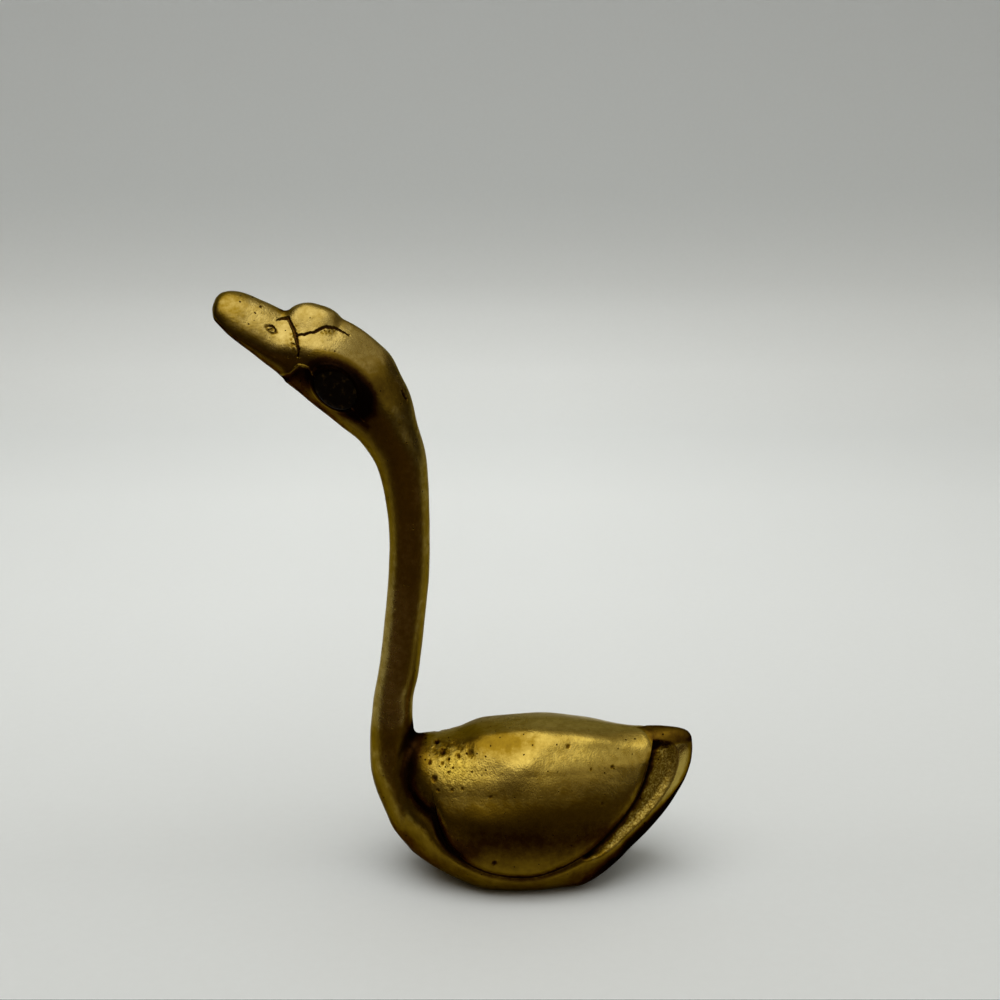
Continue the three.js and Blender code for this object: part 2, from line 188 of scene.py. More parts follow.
# Wing and tail hollow seen from the side, in the same shares along and up.
WING_OUTLINE = np.array([
    [0.185, 1.2], [0.187, 0.99], [0.19, 0.88], [0.197, 0.8], [0.208, 0.705], [0.217, 0.605], [0.223, 0.51],
    [0.238, 0.422], [0.27, 0.35], [0.315, 0.293], [0.378, 0.245], [0.446, 0.224], [0.508, 0.226],
    [0.57, 0.264], [0.628, 0.315], [0.674, 0.367], [0.719, 0.433], [0.764, 0.515], [0.799, 0.595],
    [0.824, 0.685], [0.843, 0.785], [0.858, 0.885], [0.866, 0.99], [0.872, 1.2],
])
DISH_OUTLINE = np.array([
    [0.84, 0.918], [0.875, 0.915], [0.908, 0.905], [0.931, 0.88], [0.943, 0.808], [0.929, 0.69],
    [0.888, 0.58], [0.845, 0.5], [0.797, 0.428], [0.745, 0.358], [0.694, 0.313], [0.655, 0.318],
    [0.7, 0.44], [0.76, 0.56], [0.8, 0.68], [0.825, 0.8],
])


def body_rows(s):
    """The body's stations in millimetres: x, keel, widest line, crest and half width."""
    tall = s["body_height"] + s["foot_cut"]
    rows = BODY_SHAPE.copy()
    rows[:, 0] = s["breast_front"] + rows[:, 0] * s["body_length"]
    rows[:, 1:4] = rows[:, 1:4] * tall - s["foot_cut"]
    rows[:, 4] *= s["body_width"] / 2
    return rows


def body_form(s, let_out):
    """A rule that places a ball's points on the body's outer form, let out by a distance or by a rule of x and z."""
    rows = body_rows(s)

    def place(share, up, side):
        x, keel, widest, crest, half = spline(rows, share).T
        bend = np.where(up > 0, 1, 2 / FLANK_FULLNESS)
        tall = np.where(up > 0, crest - widest, widest - keel)
        up = np.sign(up) * np.abs(up) ** bend
        side = np.sign(side) * np.abs(side) ** bend
        more = let_out(x, widest + up * tall) if callable(let_out) else let_out
        return np.stack([x, side * let_out_by(half, more), widest + up * let_out_by(tall, more)], 1)

    return place


def body_outwards(s, points):
    """The way out of the body at each point, square to its section."""
    fine = spline(body_rows(s), np.linspace(0, 1, 400))
    keel, widest, crest, half = (np.interp(points[:, 0], fine[:, 0], fine[:, k]) for k in (1, 2, 3, 4))
    rise = points[:, 2] - widest
    bend = np.where(rise > 0, 1, FLANK_FULLNESS - 1)
    tall = np.maximum(np.where(rise > 0, crest - widest, widest - keel), 0.5)
    half = np.maximum(half, 0.5)
    flat = np.sign(points[:, 1]) * np.abs(points[:, 1] / half) ** bend / half
    steep = np.sign(rise) * np.abs(rise / tall) ** bend / tall
    out = np.stack([0 * rise, flat, steep], 1)
    return out / np.maximum(np.linalg.norm(out, axis=1), 1e-9)[:, None]


def side_outline(s, outline, let_out):
    """A side view outline as a dense line in millimetres, let out from its middle by a distance or a rule."""
    tall = s["body_height"] + s["foot_cut"]
    corners = np.stack([
        s["breast_front"] + outline[:, 0] * s["body_length"],
        outline[:, 1] * tall - s["foot_cut"],
    ], 1)
    out = corners - corners.mean(0)
    more = let_out(*corners.T)[:, None] if callable(let_out) else let_out
    return spline(corners + more * out / np.linalg.norm(out, axis=1)[:, None], np.linspace(0, 1, 193))


def standing(x, z):
    """How plainly a wing stands out of the body: all round below, and hardly where shoulder and back were filed."""
    front = 1 - ramp(z, 15.0, 20.5)
    rear = 1 - ramp(z, 24.0, 28.0)
    return front + (rear - front) * ramp(x, -6.0, 8.0)


# The valley between breast and shoulder as x and z seen from the side, from the neck's root downwards.
VALLEY = np.array([
    [-19.3, 31.0], [-20.2, 29.5], [-20.9, 27.1], [-21.5, 24.5], [-21.9, 21.9], [-21.3, 19.2], [-19.2, 17.2],
    [-16.7, 15.7], [-14.9, 13.4], [-13.4, 10.6], [-11.0, 8.6],
])
NECK_ROOT = (-18.6, 30.0)
# Soft ridges where a wing turns over to the back, and where the shoulder's facet meets the wing's flank: x,
# distance from the middle, and z. The second one is plainest at one height.
BACK_RIDGE = np.array([
    [-9.0, 5.0, 28.0], [-4.0, 4.6, 29.2], [0.8, 4.4, 29.9], [4.7, 4.5, 29.9], [12.3, 5.0, 29.2], [20.0, 5.3, 28.0],
    [24.9, 5.0, 27.5],
])
SHOULDER_RIDGE = np.array([
    [-5.0, 14.0, 16.5], [-3.0, 12.8, 20.5], [-1.5, 12.0, 22.5], [0.6, 10.6, 25.4], [3.0, 8.6, 27.6], [5.0, 6.0, 29.5],
])
SHOULDER_TURN = 25.5
# Where breast and rear of the keel are fullest, seen from the side.
FULL_BREAST = np.array([[-21.3, 10.8], [-20.3, 9.0], [-18.8, 7.0]])
FULL_REAR = np.array([[13.0, 1.5], [19.0, 6.5]])
# The line across the back where the tail's lid begins: x in the middle, how far it sweeps back, and half its width.
LID_START, LID_SWEEP, LID_HALF = 23.2, 3.3, 4.5
# What filing took off everywhere.
FILED_OFF = 0.1


def mirrored(points):
    """The points with their distance from the middle plane in place of y."""
    return np.stack([points[:, 0], np.abs(points[:, 1]), points[:, 2]], 1)


def past_lid_line(points):
    """How far each point lies behind the line across the back where the tail's lid begins."""
    return points[:, 0] - LID_START - LID_SWEEP * np.sqrt(np.minimum(np.abs(points[:, 1]) / LID_HALF, 1))


def valley_film_and_shade(points):
    """The valley's dark film, partly patina and partly painted shade, from 0 to 1: wide on the shoulder's side and
    narrow on the breast's.
    """
    path = VALLEY + [0.8, 0.0]
    middle = np.interp(points[:, 2], path[::-1, 1], path[::-1, 0])
    width = np.where(points[:, 0] < middle, 1.6, 2.8)
    return bell(away(side_view(points), path), width) * ramp(points[:, 2], 7, 11)


def shoulder_ridge(points, width, spread):
    """1 on the shoulder's ridge where it is plainest, falling softly beside it, and above and below."""
    return bell(away(mirrored(points), SHOULDER_RIDGE), width) * bell(points[:, 2] - SHOULDER_TURN, spread)


def filed_relief(points):
    """Hollows and flats left by filing, as a distance out of the form at each point of body or wing."""
    x, _, z = points.T
    view = side_view(points)
    ridges = 0.3 * bell(away(mirrored(points), BACK_RIDGE), 1.8) + 0.42 * shoulder_ridge(points, 2.6, 3.2)
    dent = 0.3 * bell(np.hypot((x + 9.5) / 2.4, (z - 26.8) / 1.6), 1.0)
    back = 0.95 * ramp(z, 23.5, 29.0) * ramp(x, -16, -6) * (1 - ramp(x, 12, 24))
    crease = 0.12 * bell(past_lid_line(points), 0.35) * ramp(z, 26, 27)
    full = 1.1 * bell(away(view, FULL_BREAST), 3.8) + 0.5 * bell(away(view, FULL_REAR), 2.5)
    uneven = 0.05 * unevenness(points, 13, 11) + 0.03 * unevenness(points, 5, 12)
    return ridges + back + full + uneven - dent - crease - FILED_OFF


# Breast, from the keel up to the neck: shares along the body and of its height, then of the breast's thickness
# and width.
BREAST_SHAPE = (
    (0.404, 0.15, 0.0, 0.0), (0.38, 0.156, 0.218, 0.344), (0.24, 0.213, 0.364, 0.488), (0.159, 0.398, 0.455, 0.5),
    (0.11, 0.583, 0.5, 0.45), (0.083, 0.71, 0.459, 0.4), (0.073, 0.825, 0.418, 0.35),
)
# Stub and neck: share of the sway, share of the stub downwards or of the neck upwards, then shares of the
# neck's thickness along and across, and of the head's ridge.
NECK_SHAPE = (
    (-0.09, -1.0, 1.18, 1.32, 0.0), (-0.07, -0.55, 1.1, 1.18, 0.0), (0.0, 0.0, 1.03, 1.03, 0.0),
    (0.38, 0.143, 1.0, 1.0, 0.0), (0.91, 0.414, 1.0, 1.0, 0.0), (1.0, 0.6, 1.0, 1.0, 0.0),
    (0.71, 0.79, 1.2, 1.15, 0.1), (0.12, 0.9, 1.45, 1.4, 0.4),
)
# Head: shares of its reach and rise, then of its height and width, how far the widest line lies below the
# middle, and the share of the ridge. Bill: the same as shares of its own sizes, from its root.
HEAD_SHAPE = (
    (0.141, 0.016, 0.44, 0.45, 0.0, 0.8), (0.455, 0.566, 0.5, 0.5, 0.0, 1.0),
    (0.778, 0.852, 0.43, 0.48, 0.15, 1.0),
)
BILL_SHAPE = (
    (0.0, 0.0, 0.5, 0.5, 0.4, 0.9), (0.38, 0.24, 0.43, 0.47, 0.6, 0.65), (0.65, 0.4, 0.37, 0.43, 0.65, 0.5),
    (0.87, 0.49, 0.28, 0.33, 0.5, 0.35), (0.97, 0.525, 0.15, 0.18, 0.2, 0.15), (1.0, 0.535, 0.0, 0.0, 0.0, 0.0),
)
CROWN_RIDGE = 0.6
CHEEK_FULLNESS = 0.6
SEAM_ROW = 9
SEAM = (cad("neck_braze", 0, 2) + cad("neck_braze", 1, 2)) / 2
FOREHEAD_ROW = 17.05
EYE_ROW = 15.75
EYE_DROP = 0.14


def neck_rows(s):
    """The stations from the keel up breast, neck and head: x and z of the middle line, half sizes, low and ridge."""
    tall = s["body_height"] + s["foot_cut"]
    seam_x = s["breast_front"] + s["neck_setback"]
    seam = (s["seam_low"] + s["seam_high"]) / 2
    r = s["neck_thickness"] / 2
    rows = []
    for along, up, thick, wide in BREAST_SHAPE:
        x, z = s["breast_front"] + along * s["body_length"], up * tall - s["foot_cut"]
        rows.append([x, z, thick * s["breast_thickness"], wide * s["breast_width"], 0, 0])
    for sway, up, thick, wide, ridge in NECK_SHAPE:
        z = seam + up * (s["stub_height"] if up < 0 else s["neck_height"])
        rows.append([seam_x + sway * s["neck_sway"], z, thick * r, wide * r, 0, ridge])
    for reach, rise, thick, wide, low, ridge in HEAD_SHAPE:
        x, z = seam_x - reach * s["head_reach"], seam + s["neck_height"] + rise * s["head_rise"]
        rows.append([x, z, thick * s["head_height"], wide * s["head_width"], low, ridge])
    for along, rise, thick, wide, low, ridge in BILL_SHAPE:
        x = seam_x - s["head_reach"] - along * s["bill_length"]
        z = seam + s["neck_height"] + s["head_rise"] + rise * s["bill_length"]
        rows.append([x, z, thick * s["bill_height"], wide * s["bill_width"], low, ridge])
    return np.array(rows)


def neck_frame(rows, share):
    """The middle line, the directions along it and towards the crown, and half sizes, low and ridge there."""
    share = np.atleast_1d(np.asarray(share, float))
    here = spline(rows, share)
    along = spline(rows, np.clip(share + 1e-4, 0, 1))[:, :2] - spline(rows, np.clip(share - 1e-4, 0, 1))[:, :2]
    along /= np.linalg.norm(along, axis=1)[:, None]
    zero = np.zeros(len(here))
    middle = np.stack([here[:, 0], zero, here[:, 1]], 1)
    forth = np.stack([along[:, 0], zero, along[:, 1]], 1)
    crown = np.stack([along[:, 1], zero, -along[:, 0]], 1)
    return middle, forth, crown, here[:, 2:]


def neck_at(s, row):
    """The middle line, the ways along it and towards the crown, and the half sizes, low and ridge at one station."""
    rows = neck_rows(s)
    return [values[0] for values in neck_frame(rows, row / (len(rows) - 1))]


def section(low, ridge, up, side):
    """Width and height of the neck's section at an angle round it, as shares of its half sizes."""
    low, ridge = np.clip(low, 0, 1), np.clip(ridge, 0, 1)
    bend = 2 / (2 + CHEEK_FULLNESS * ridge)
    out = np.where(up > 0, side * (1 - CROWN_RIDGE * ridge * up**2), np.sign(side) * np.abs(side) ** bend)
    rise = np.where(up > 0, up * (1 + low) - low, -(np.abs(up) ** bend) * (1 - low) - low)
    return out, rise


def neck_form(s, let_out, spacing=None):
    """A rule that places a ball's points on breast, neck and head. spacing spreads the rings along the line."""
    rows = neck_rows(s)

    def place(share, up, side):
        if spacing is not None:
            share = np.interp(share, np.linspace(0, 1, len(spacing)), spacing)
        middle, _, crown, size = neck_frame(rows, share)
        out, rise = section(size[:, 2], size[:, 3], up, side)
        points = middle + crown * (rise * let_out_by(size[:, 0], let_out))[:, None]
        points[:, 1] -= out * let_out_by(size[:, 1], let_out)
        return points

    return place


def cheek_at(size, height):
    """How far the head's side lies from the middle plane, at a height from the middle line."""
    turn = np.linspace(0, math.pi, 721)
    out, rise = section(size[2], size[3], np.cos(turn), np.sin(turn))
    return float(np.interp(-height, -rise * size[0], out * size[1]))


def ring_spacing(s, coarse, fine, from_row):
    """Shares of the way along the neck for evenly spread rings: coarse millimetres apart, then fine ones."""
    rows = neck_rows(s)
    share = np.linspace(0, 1, 4000)
    line = spline(rows, share)[:, :2]
    step = np.r_[0, np.linalg.norm(np.diff(line, axis=0), axis=1)]
    change = from_row / (len(rows) - 1)
    finer = np.clip((share - change + 0.03) / 0.06, 0, 1)
    count = np.cumsum(step / (coarse + (fine - coarse) * finer))
    rings = int(count[-1])
    return np.interp(np.linspace(0, count[-1], rings + 1), count, share)


def moulded(bm, rings, sides, place, fine=None):
    """Adds a ball whose rings are laid out afresh by a rule, with faces split in nine where the rule fine says so."""
    bmesh.ops.create_uvsphere(bm, u_segments=sides, v_segments=rings, radius=1.0)

    def laid():
        unit = np.array([v.co for v in bm.verts])
        unit /= np.linalg.norm(unit, axis=1)[:, None]
        angle = np.arctan2(unit[:, 1], unit[:, 0])
        return place(np.arccos(np.clip(-unit[:, 2], -1, 1)) / math.pi, np.cos(angle), np.sin(angle))

    if fine is not None:
        chosen = fine(laid())
        bm.verts.index_update()
        edges = {edge for face in bm.faces if all(chosen[v.index] for v in face.verts) for edge in face.edges}
        bmesh.ops.subdivide_edges(bm, edges=list(edges), cuts=2, use_grid_fill=True)
    move_points(bm, laid())


def cut_flat(bm, z, keep_below):
    """Cuts everything on one side of a level plane away, and closes the cut with a sharp edge."""
    normal = (0, 0, 1 if keep_below else -1)
    cut_plane(bm, (0, 0, z), normal)


def cut_plane(bm, point, normal):
    """Cuts away what lies on the normal's side of a plane, and closes the cut with a sharp edge."""
    geometry = bm.verts[:] + bm.edges[:] + bm.faces[:]
    made = bmesh.ops.bisect_plane(bm, geom=geometry, dist=1e-5, plane_co=point, plane_no=normal, clear_outer=True)
    edges = [item for item in made["geom_cut"] if isinstance(item, bmesh.types.BMEdge)]
    bmesh.ops.holes_fill(bm, edges=edges, sides=0)
    for edge in edges:
        edge.smooth = False


def sharpen(bm, degrees):
    """Marks the edges that turn by more than an angle as sharp."""
    for edge in bm.edges:
        if len(edge.link_faces) == 2 and edge.calc_face_angle(0) > math.radians(degrees):
            edge.smooth = False


def slab_object(name, outline):
    """A flat bar right through the body with a side view outline."""
    bm = bmesh.new()
    face = bm.faces.new([bm.verts.new((x, -60, z)) for x, z in outline])
    made = bmesh.ops.extrude_face_region(bm, geom=[face])
    bmesh.ops.translate(bm, vec=(0, 120, 0), verts=[v for v in made["geom"] if isinstance(v, bmesh.types.BMVert)])
    return to_object(bm, name)


def form_object(name, rings, sides, place):
    """An object moulded by a rule."""
    bm = bmesh.new()
    moulded(bm, rings, sides, place)
    return to_object(bm, name)


def carved(piece, *cuts):
    """A bmesh of the piece after boolean cuts, each a tool object and an operation. Piece and tools are removed."""
    for tool, operation in cuts:
        cut = piece.modifiers.new(tool.name, "BOOLEAN")
        cut.object, cut.operation, cut.solver = tool, operation, "EXACT"
    made = with_modifiers(piece)
    for tool, _ in cuts:
        bpy.data.objects.remove(tool)
    return made


def to_object(bm, name):
    """A new object in the scene from a bmesh, which is freed."""
    bm.normal_update()
    bmesh.ops.recalc_face_normals(bm, faces=bm.faces[:])
    mesh = bpy.data.meshes.new(name)
    bm.to_mesh(mesh)
    bm.free()
    piece = bpy.data.objects.new(name, mesh)
    bpy.context.scene.collection.objects.link(piece)
    return piece


def with_modifiers(piece):
    """A bmesh of the piece with its modifiers applied. The piece is removed."""
    graph = bpy.context.evaluated_depsgraph_get()
    bm = bmesh.new()
    bm.from_object(piece, graph)
    mesh = piece.data
    bpy.data.objects.remove(piece)
    bpy.data.meshes.remove(mesh)
    return bm


def smooth(bm, verts, rounds):
    """Draws some of the bmesh's points towards their neighbours, a number of times."""
    for _ in range(rounds):
        bmesh.ops.smooth_vert(bm, verts=verts, factor=0.5, use_axis_x=True, use_axis_y=True, use_axis_z=True)


def recast(bm, grain, rounds):
    """The bmesh joined into one even skin of small faces and smoothed, as wax is before casting."""
    piece = to_object(bm, "wax")
    remesh = piece.modifiers.new("skin", "REMESH")
    remesh.mode = "VOXEL"
    remesh.voxel_size = grain
    made = with_modifiers(piece)
    smooth(made, made.verts[:], rounds)
    return made


def points_of(bm):
    """The bmesh's points and outward directions as arrays."""
    bm.normal_update()
    return np.array([v.co for v in bm.verts]), np.array([v.normal for v in bm.verts])


def move_points(bm, points):
    """Puts the bmesh's points where the array says."""
    for vert, point in zip(bm.verts, points):
        vert.co = point


def away(points, path):
    """How far each point of a plane or of space lies from a line of points."""
    best = np.full(len(points), 1e9)
    for a, b in zip(path[:-1], path[1:]):
        step = b - a
        t = np.clip((points - a) @ step / max(step @ step, 1e-12), 0, 1)
        best = np.minimum(best, np.linalg.norm(points - a - t[:, None] * step, axis=1))
    return best


def within(points, outline):
    """How far each point of the side view lies inside a closed outline, negative outside."""
    x, z = points.T
    inside = np.zeros(len(points), bool)
    for (x0, z0), (x1, z1) in zip(outline, np.roll(outline, -1, axis=0)):
        crosses = (z0 > z) != (z1 > z)
        inside ^= crosses & (x < (x1 - x0) * (z - z0) / np.where(z1 == z0, 1e-9, z1 - z0) + x0)
    return np.where(inside, 1, -1) * away(points, np.vstack([outline, outline[:1]]))


def ramp(value, low, high):
    """0 below low, 1 above high and a soft step between."""
    t = np.clip((value - low) / (high - low), 0, 1)
    return t * t * (3 - 2 * t)


def bell(distance, width):
    """1 on a line, falling softly to nothing at about twice the width."""
    return np.exp(-((distance / width) ** 2))


def cut_line(distance, width):
    """1 on a line, falling to nothing at the width with a plain edge, as a graver leaves it."""
    return np.clip(1 - (distance / width) ** 2, 0, 1)


def stroke(points, path):
    """1 on a graver's stroke and 0 beside it. The path's columns are x, z and half the width."""
    best = np.full(len(points), 9.0)
    for a, b in zip(path[:-1], path[1:]):
        step = b[:2] - a[:2]
        t = np.clip((points - a[:2]) @ step / max(step @ step, 1e-12), 0, 1)
        best = np.minimum(best, np.linalg.norm(points - a[:2] - t[:, None] * step, axis=1) / (a[2] + t * (b[2] - a[2])))
    return cut_line(best, 1.0)


def spot(points, middle, width, stretch=1.0):
    """1 at a point, falling softly to nothing at about twice the width. stretch shrinks the spot along each axis."""
    return bell(np.linalg.norm((points - np.array(middle)) * stretch, axis=1), width)


# The film on plain metal, and the height where the neck is made lightest.
USUAL_FILM = 0.36
MID_NECK = 44.0


def weathering_and_under_shade(points, out):
    """How far the film has gone before any details: least on top, where hands rub it, and most low down and on faces
    that look down, where it is partly tarnish and partly painted shade.

    The sawn faces of the neck's seam don't count."""
    rise = out[:, 2] * ramp(np.abs(points[:, 2] - SEAM), 0.4, 1.2)
    # Painted shade: more film on faces that look down, and darker towards the bottom.
    under = 0.28 * ramp(-rise, -0.1, 0.25) + 0.06 * (1 - ramp(points[:, 2], 5, 15))
    neck = 0.08 * (1 - ramp(np.abs(points[:, 2] - MID_NECK), 10, 18))
    return USUAL_FILM - 0.14 * ramp(rise, 0.0, 0.75) + under - neck


def side_view(points):
    """The points' x and z."""
    return points[:, [0, 2]]


def unevenness(points, size, seed):
    """Soft hills and hollows between -1 and 1, about one size across: a few crossed waves."""
    rng = np.random.default_rng(seed)
    total = np.zeros(len(points))
    for _ in range(9):
        way = rng.normal(size=3)
        way *= 2 * math.pi / (size * rng.uniform(0.8, 1.6)) / np.linalg.norm(way)
        total += np.sin(points @ way + rng.uniform(0, 2 * math.pi))
    return total / 4.5


def wobble(points, size, seed):
    """Two unevennesses, for x and z, which make a mark's edge look hand made."""
    return np.stack([unevenness(points, size, seed), unevenness(points, size, seed + 1)], 1)


# The larger casting pits on shoulder and wing: x and z seen from the side, and radius. On the right they lie a
# little astray.
PITS = (
    (-14.1, 26.4, 0.5), (-15.5, 22.5, 0.5), (-14.0, 25.0, 0.3), (-16.4, 24.9, 0.3), (-12.9, 25.6, 0.25),
    (-10.9, 26.2, 0.3), (-15.2, 27.4, 0.35), (-14.7, 20.7, 0.25), (-12.0, 21.0, 0.25), (-10.1, 21.4, 0.25),
    (18.4, 24.6, 0.35), (-4.0, 8.7, 0.35), (10.0, 28.2, 0.3), (-4.8, 20.3, 0.25), (16.3, 18.7, 0.25),
    (14.3, 24.6, 0.2),
)
RIGHT_ASTRAY = (1.1, -0.6)
# Marks of the sides stay this far from the middle plane.
MIDDLE_CLEAR = 2.0


def pits(points):
    """How deep the casting pits go at each point, and how dark they are, from 0 to 1."""
    view = side_view(points) + 0.12 * wobble(points, 0.7, 51)
    view = view + np.where(points[:, 1:2] > 0, [RIGHT_ASTRAY], 0)
    aside = np.abs(points[:, 1]) > MIDDLE_CLEAR
    depth, dark = np.zeros(len(points)), np.zeros(len(points))
    for x, z, size in PITS:
        near = np.where((np.abs(view - [x, z]).max(1) < size * 1.6) & aside)[0]
        share = np.linalg.norm(view[near] - [x, z], axis=1) / size
        depth[near] = np.maximum(depth[near], 0.6 * size * np.clip(1 - share**2, 0, 1))
        dark[near] = np.maximum(dark[near], np.clip(1.8 - 1.3 * share, 0, 1))
    return depth, dark


def add_node(tree, kind, inputs=None, **settings):
    """A new shader node with its settings, and its inputs set or linked."""
    node = tree.nodes.new(kind)
    for name, value in settings.items():
        setattr(node, name, value)
    for socket, value in (inputs or {}).items():
        if isinstance(value, bpy.types.NodeSocket):
            tree.links.new(value, node.inputs[socket])
        else:
            node.inputs[socket].default_value = value
    return node


def new_material(name):
    """A cleared node material, its tree and the object coordinates in it."""
    material = bpy.data.materials.get(name) or bpy.data.materials.new(name)
    material.use_nodes = True
    tree = material.node_tree
    tree.nodes.clear()
    return material, tree, add_node(tree, "ShaderNodeTexCoord").outputs["Object"]


def maths(tree, operation, *values, clamp=False):
    """The result of one maths node."""
    return add_node(tree, "ShaderNodeMath", dict(enumerate(values)), operation=operation, use_clamp=clamp).outputs[0]


def noise(tree, place, size, detail):
    """The outputs of a noise with blotches of a size in metres."""
    return add_node(tree, "ShaderNodeTexNoise", {"Vector": place, "Scale": 1 / size, "Detail": detail}).outputs


def blend(tree, value, *stops):
    """A colour that runs through the stops as the value rises. Each is a position and a linear colour."""
    node = add_node(tree, "ShaderNodeValToRGB", {"Fac": value})
    marks = node.color_ramp.elements
    for mark, (position, tone) in zip(marks, (stops[0], stops[-1])):
        mark.position, mark.color = position, tone
    for position, tone in stops[1:-1]:
        marks.new(position).color = tone
    return node.outputs["Color"]


def brought(tree, value, low, high, start=0.0, end=1.0):
    """A value that runs from start to end, brought to low and high."""
    limits = {"From Min": start, "From Max": end, "To Min": low, "To Max": high}
    return add_node(tree, "ShaderNodeMapRange", {"Value": value, **limits}).outputs["Result"]


def surface(tree, inputs):
    """Ends a material's tree in a principled shader."""
    shader = add_node(tree, "ShaderNodeBsdfPrincipled", inputs)
    add_node(tree, "ShaderNodeOutputMaterial", {"Surface": shader.outputs["BSDF"]})


def holes(tree, place, size, often, wide):
    """Round holes in some cells of a size, more of them where often is higher: 1 inside a hole, 0 beside it."""
    least, edge = 0.06, 12.0
    cells = add_node(tree, "ShaderNodeTexVoronoi", {"Vector": place, "Scale": 1 / size}).outputs
    chance = add_node(tree, "ShaderNodeSeparateColor", {"Color": cells["Color"]}).outputs["Red"]
    spare = maths(tree, "SUBTRACT", often, chance)
    there = maths(tree, "GREATER_THAN", spare, 0.0)
    deep = maths(tree, "SUBTRACT", maths(tree, "MULTIPLY_ADD", spare, wide, least), cells["Distance"])
    return maths(tree, "MULTIPLY", maths(tree, "MULTIPLY", deep, edge, clamp=True), there)


# Values that a brass piece keeps at its points for its material.
FILM_LAYERS = ("tarnish_and_shading", "grain", "pitted", "golden")
# How much clouds and mottling add to the film, and the film from bare metal to soot.
CLOUDS, MOTTLE, FILM_SPAN = 0.3, 0.42, 1.4
DEEP_GOLD = (1.0, 0.93, 0.4, 1.0)


def aged_cast_brass():
    """Sand-cast yellow brass, rubbed bright where it is handled, brown black in the hollows, and painted with shade and
    highlights.
    """
    finish = bpy.context.scene.goose_finish
    material, tree, place = new_material("aged cast brass")
    tarnish_and_shading, grain, pitted, golden = (
        add_node(tree, "ShaderNodeAttribute", attribute_name=name).outputs["Fac"] for name in FILM_LAYERS
    )

    def sum_of(base, *parts):
        for value, share in parts:
            base = maths(tree, "MULTIPLY_ADD", value, share, base)
        return base

    # Clouds of film about 9 mm across, mottling of 1.3 mm and casting grain of 0.35 mm.
    clouds, mottle = noise(tree, place, 9 * MM, 3.0)["Fac"], noise(tree, place, 1.3 * MM, 4.0)
    sand = noise(tree, place, 0.35 * MM, 2.0)["Fac"]
    astray = add_node(
        tree, "ShaderNodeVectorMath", {0: mottle["Color"], 1: (0.6 * MM,) * 3, 2: place}, operation="MULTIPLY_ADD"
    ).outputs["Vector"]
    mottle = mottle["Fac"]
    # Specks in cells of 0.9 mm and casting pits in cells of 1.5 mm.
    speck = holes(tree, astray, 0.9 * MM, sum_of(0.3, (pitted, 0.35)), 0.55)
    pit = maths(tree, "MAXIMUM", speck, holes(tree, astray, 1.5 * MM, sum_of(0.0, (pitted, 0.8)), 0.42))
    coarse = sum_of(0.14, (grain, 1.3))
    # The film gathers real tarnish and the pieces' painted shade and highlights.
    film = sum_of(tarnish_and_shading, (clouds, CLOUDS), (mottle, MOTTLE), (sand, coarse), (coarse, -0.5), (pit, 0.7))
    # What clouds and mottling add on average comes off again. Then bare metal is brought to 0 and soot to 1.
    usual = (CLOUDS + MOTTLE) / 2
    film = maths(tree, "MULTIPLY_ADD", film, 1 / FILM_SPAN, -usual / FILM_SPAN, clamp=True)
    tone = blend(tree, film, (0.0, finish.rubbed), (0.3, finish.aged), (0.71, finish.tarnish_and_shading), (1.0, finish.soot_and_shade))
    # The body's metal is a deeper gold than the head's.
    gold = add_node(
        tree, "ShaderNodeMix", {0: golden, 6: tone, 7: DEEP_GOLD}, data_type="RGBA", blend_type="MULTIPLY"
    ).outputs[2]
    # The oxide keeps the metal's edges brown instead of white.
    edge = blend(tree, film, (0.0, linear("E2DAC4")), (0.36, linear("D2CAB0")), (0.8, linear("2A2016")))
    height = maths(tree, "MULTIPLY", sand, sum_of(0.7, (grain, 3.0), (pitted, 2.0)))
    height = sum_of(height, (mottle, 1.2), (pit, -4.0))
    bump = add_node(tree, "ShaderNodeBump", {"Height": height, "Strength": 0.6, "Distance": 0.06 * MM})
    surface(tree, {
        "Base Color": gold, "Metallic": 1.0, "Roughness": sum_of(brought(tree, film, 0.22, 0.5), (grain, 0.2)),
        "Normal": bump.outputs["Normal"], "Specular Tint": edge,
    })
    return material


def drawn_brass():
    """Clean drawn rod with fine lines along it, inside the neck joint."""
    material, tree, place = new_material("drawn brass rod")
    stretched = add_node(tree, "ShaderNodeMapping", {"Vector": place, "Scale": (1.0, 1.0, 0.05)}).outputs["Vector"]
    lines = noise(tree, stretched, 0.2 * MM, 2.0)["Fac"]
    tone = blend(tree, lines, (0.0, linear("A98A45")), (1.0, linear("D2B569")))
    surface(tree, {"Base Color": tone, "Metallic": 1.0, "Roughness": brought(tree, lines, 0.2, 0.35)})
    return material


def black_eye():
    """Worn black glass: near black, with dull scratches that lift the gloss in patches."""
    finish = bpy.context.scene.goose_finish
    material, tree, place = new_material("worn black glass")
    wear = noise(tree, place, 1.1 * MM, 5.0)["Fac"]
    bump = add_node(tree, "ShaderNodeBump", {"Height": wear, "Strength": 0.6, "Distance": 0.15 * MM})
    surface(tree, {
        "Base Color": blend(tree, wear, (0.57, finish.eye), (0.72, linear("32270F"))),
        "Roughness": brought(tree, wear, 0.4, 0.75), "IOR": 1.4, "Normal": bump.outputs["Normal"],
        "Specular Tint": linear("8A6A40"),
    })
    return material


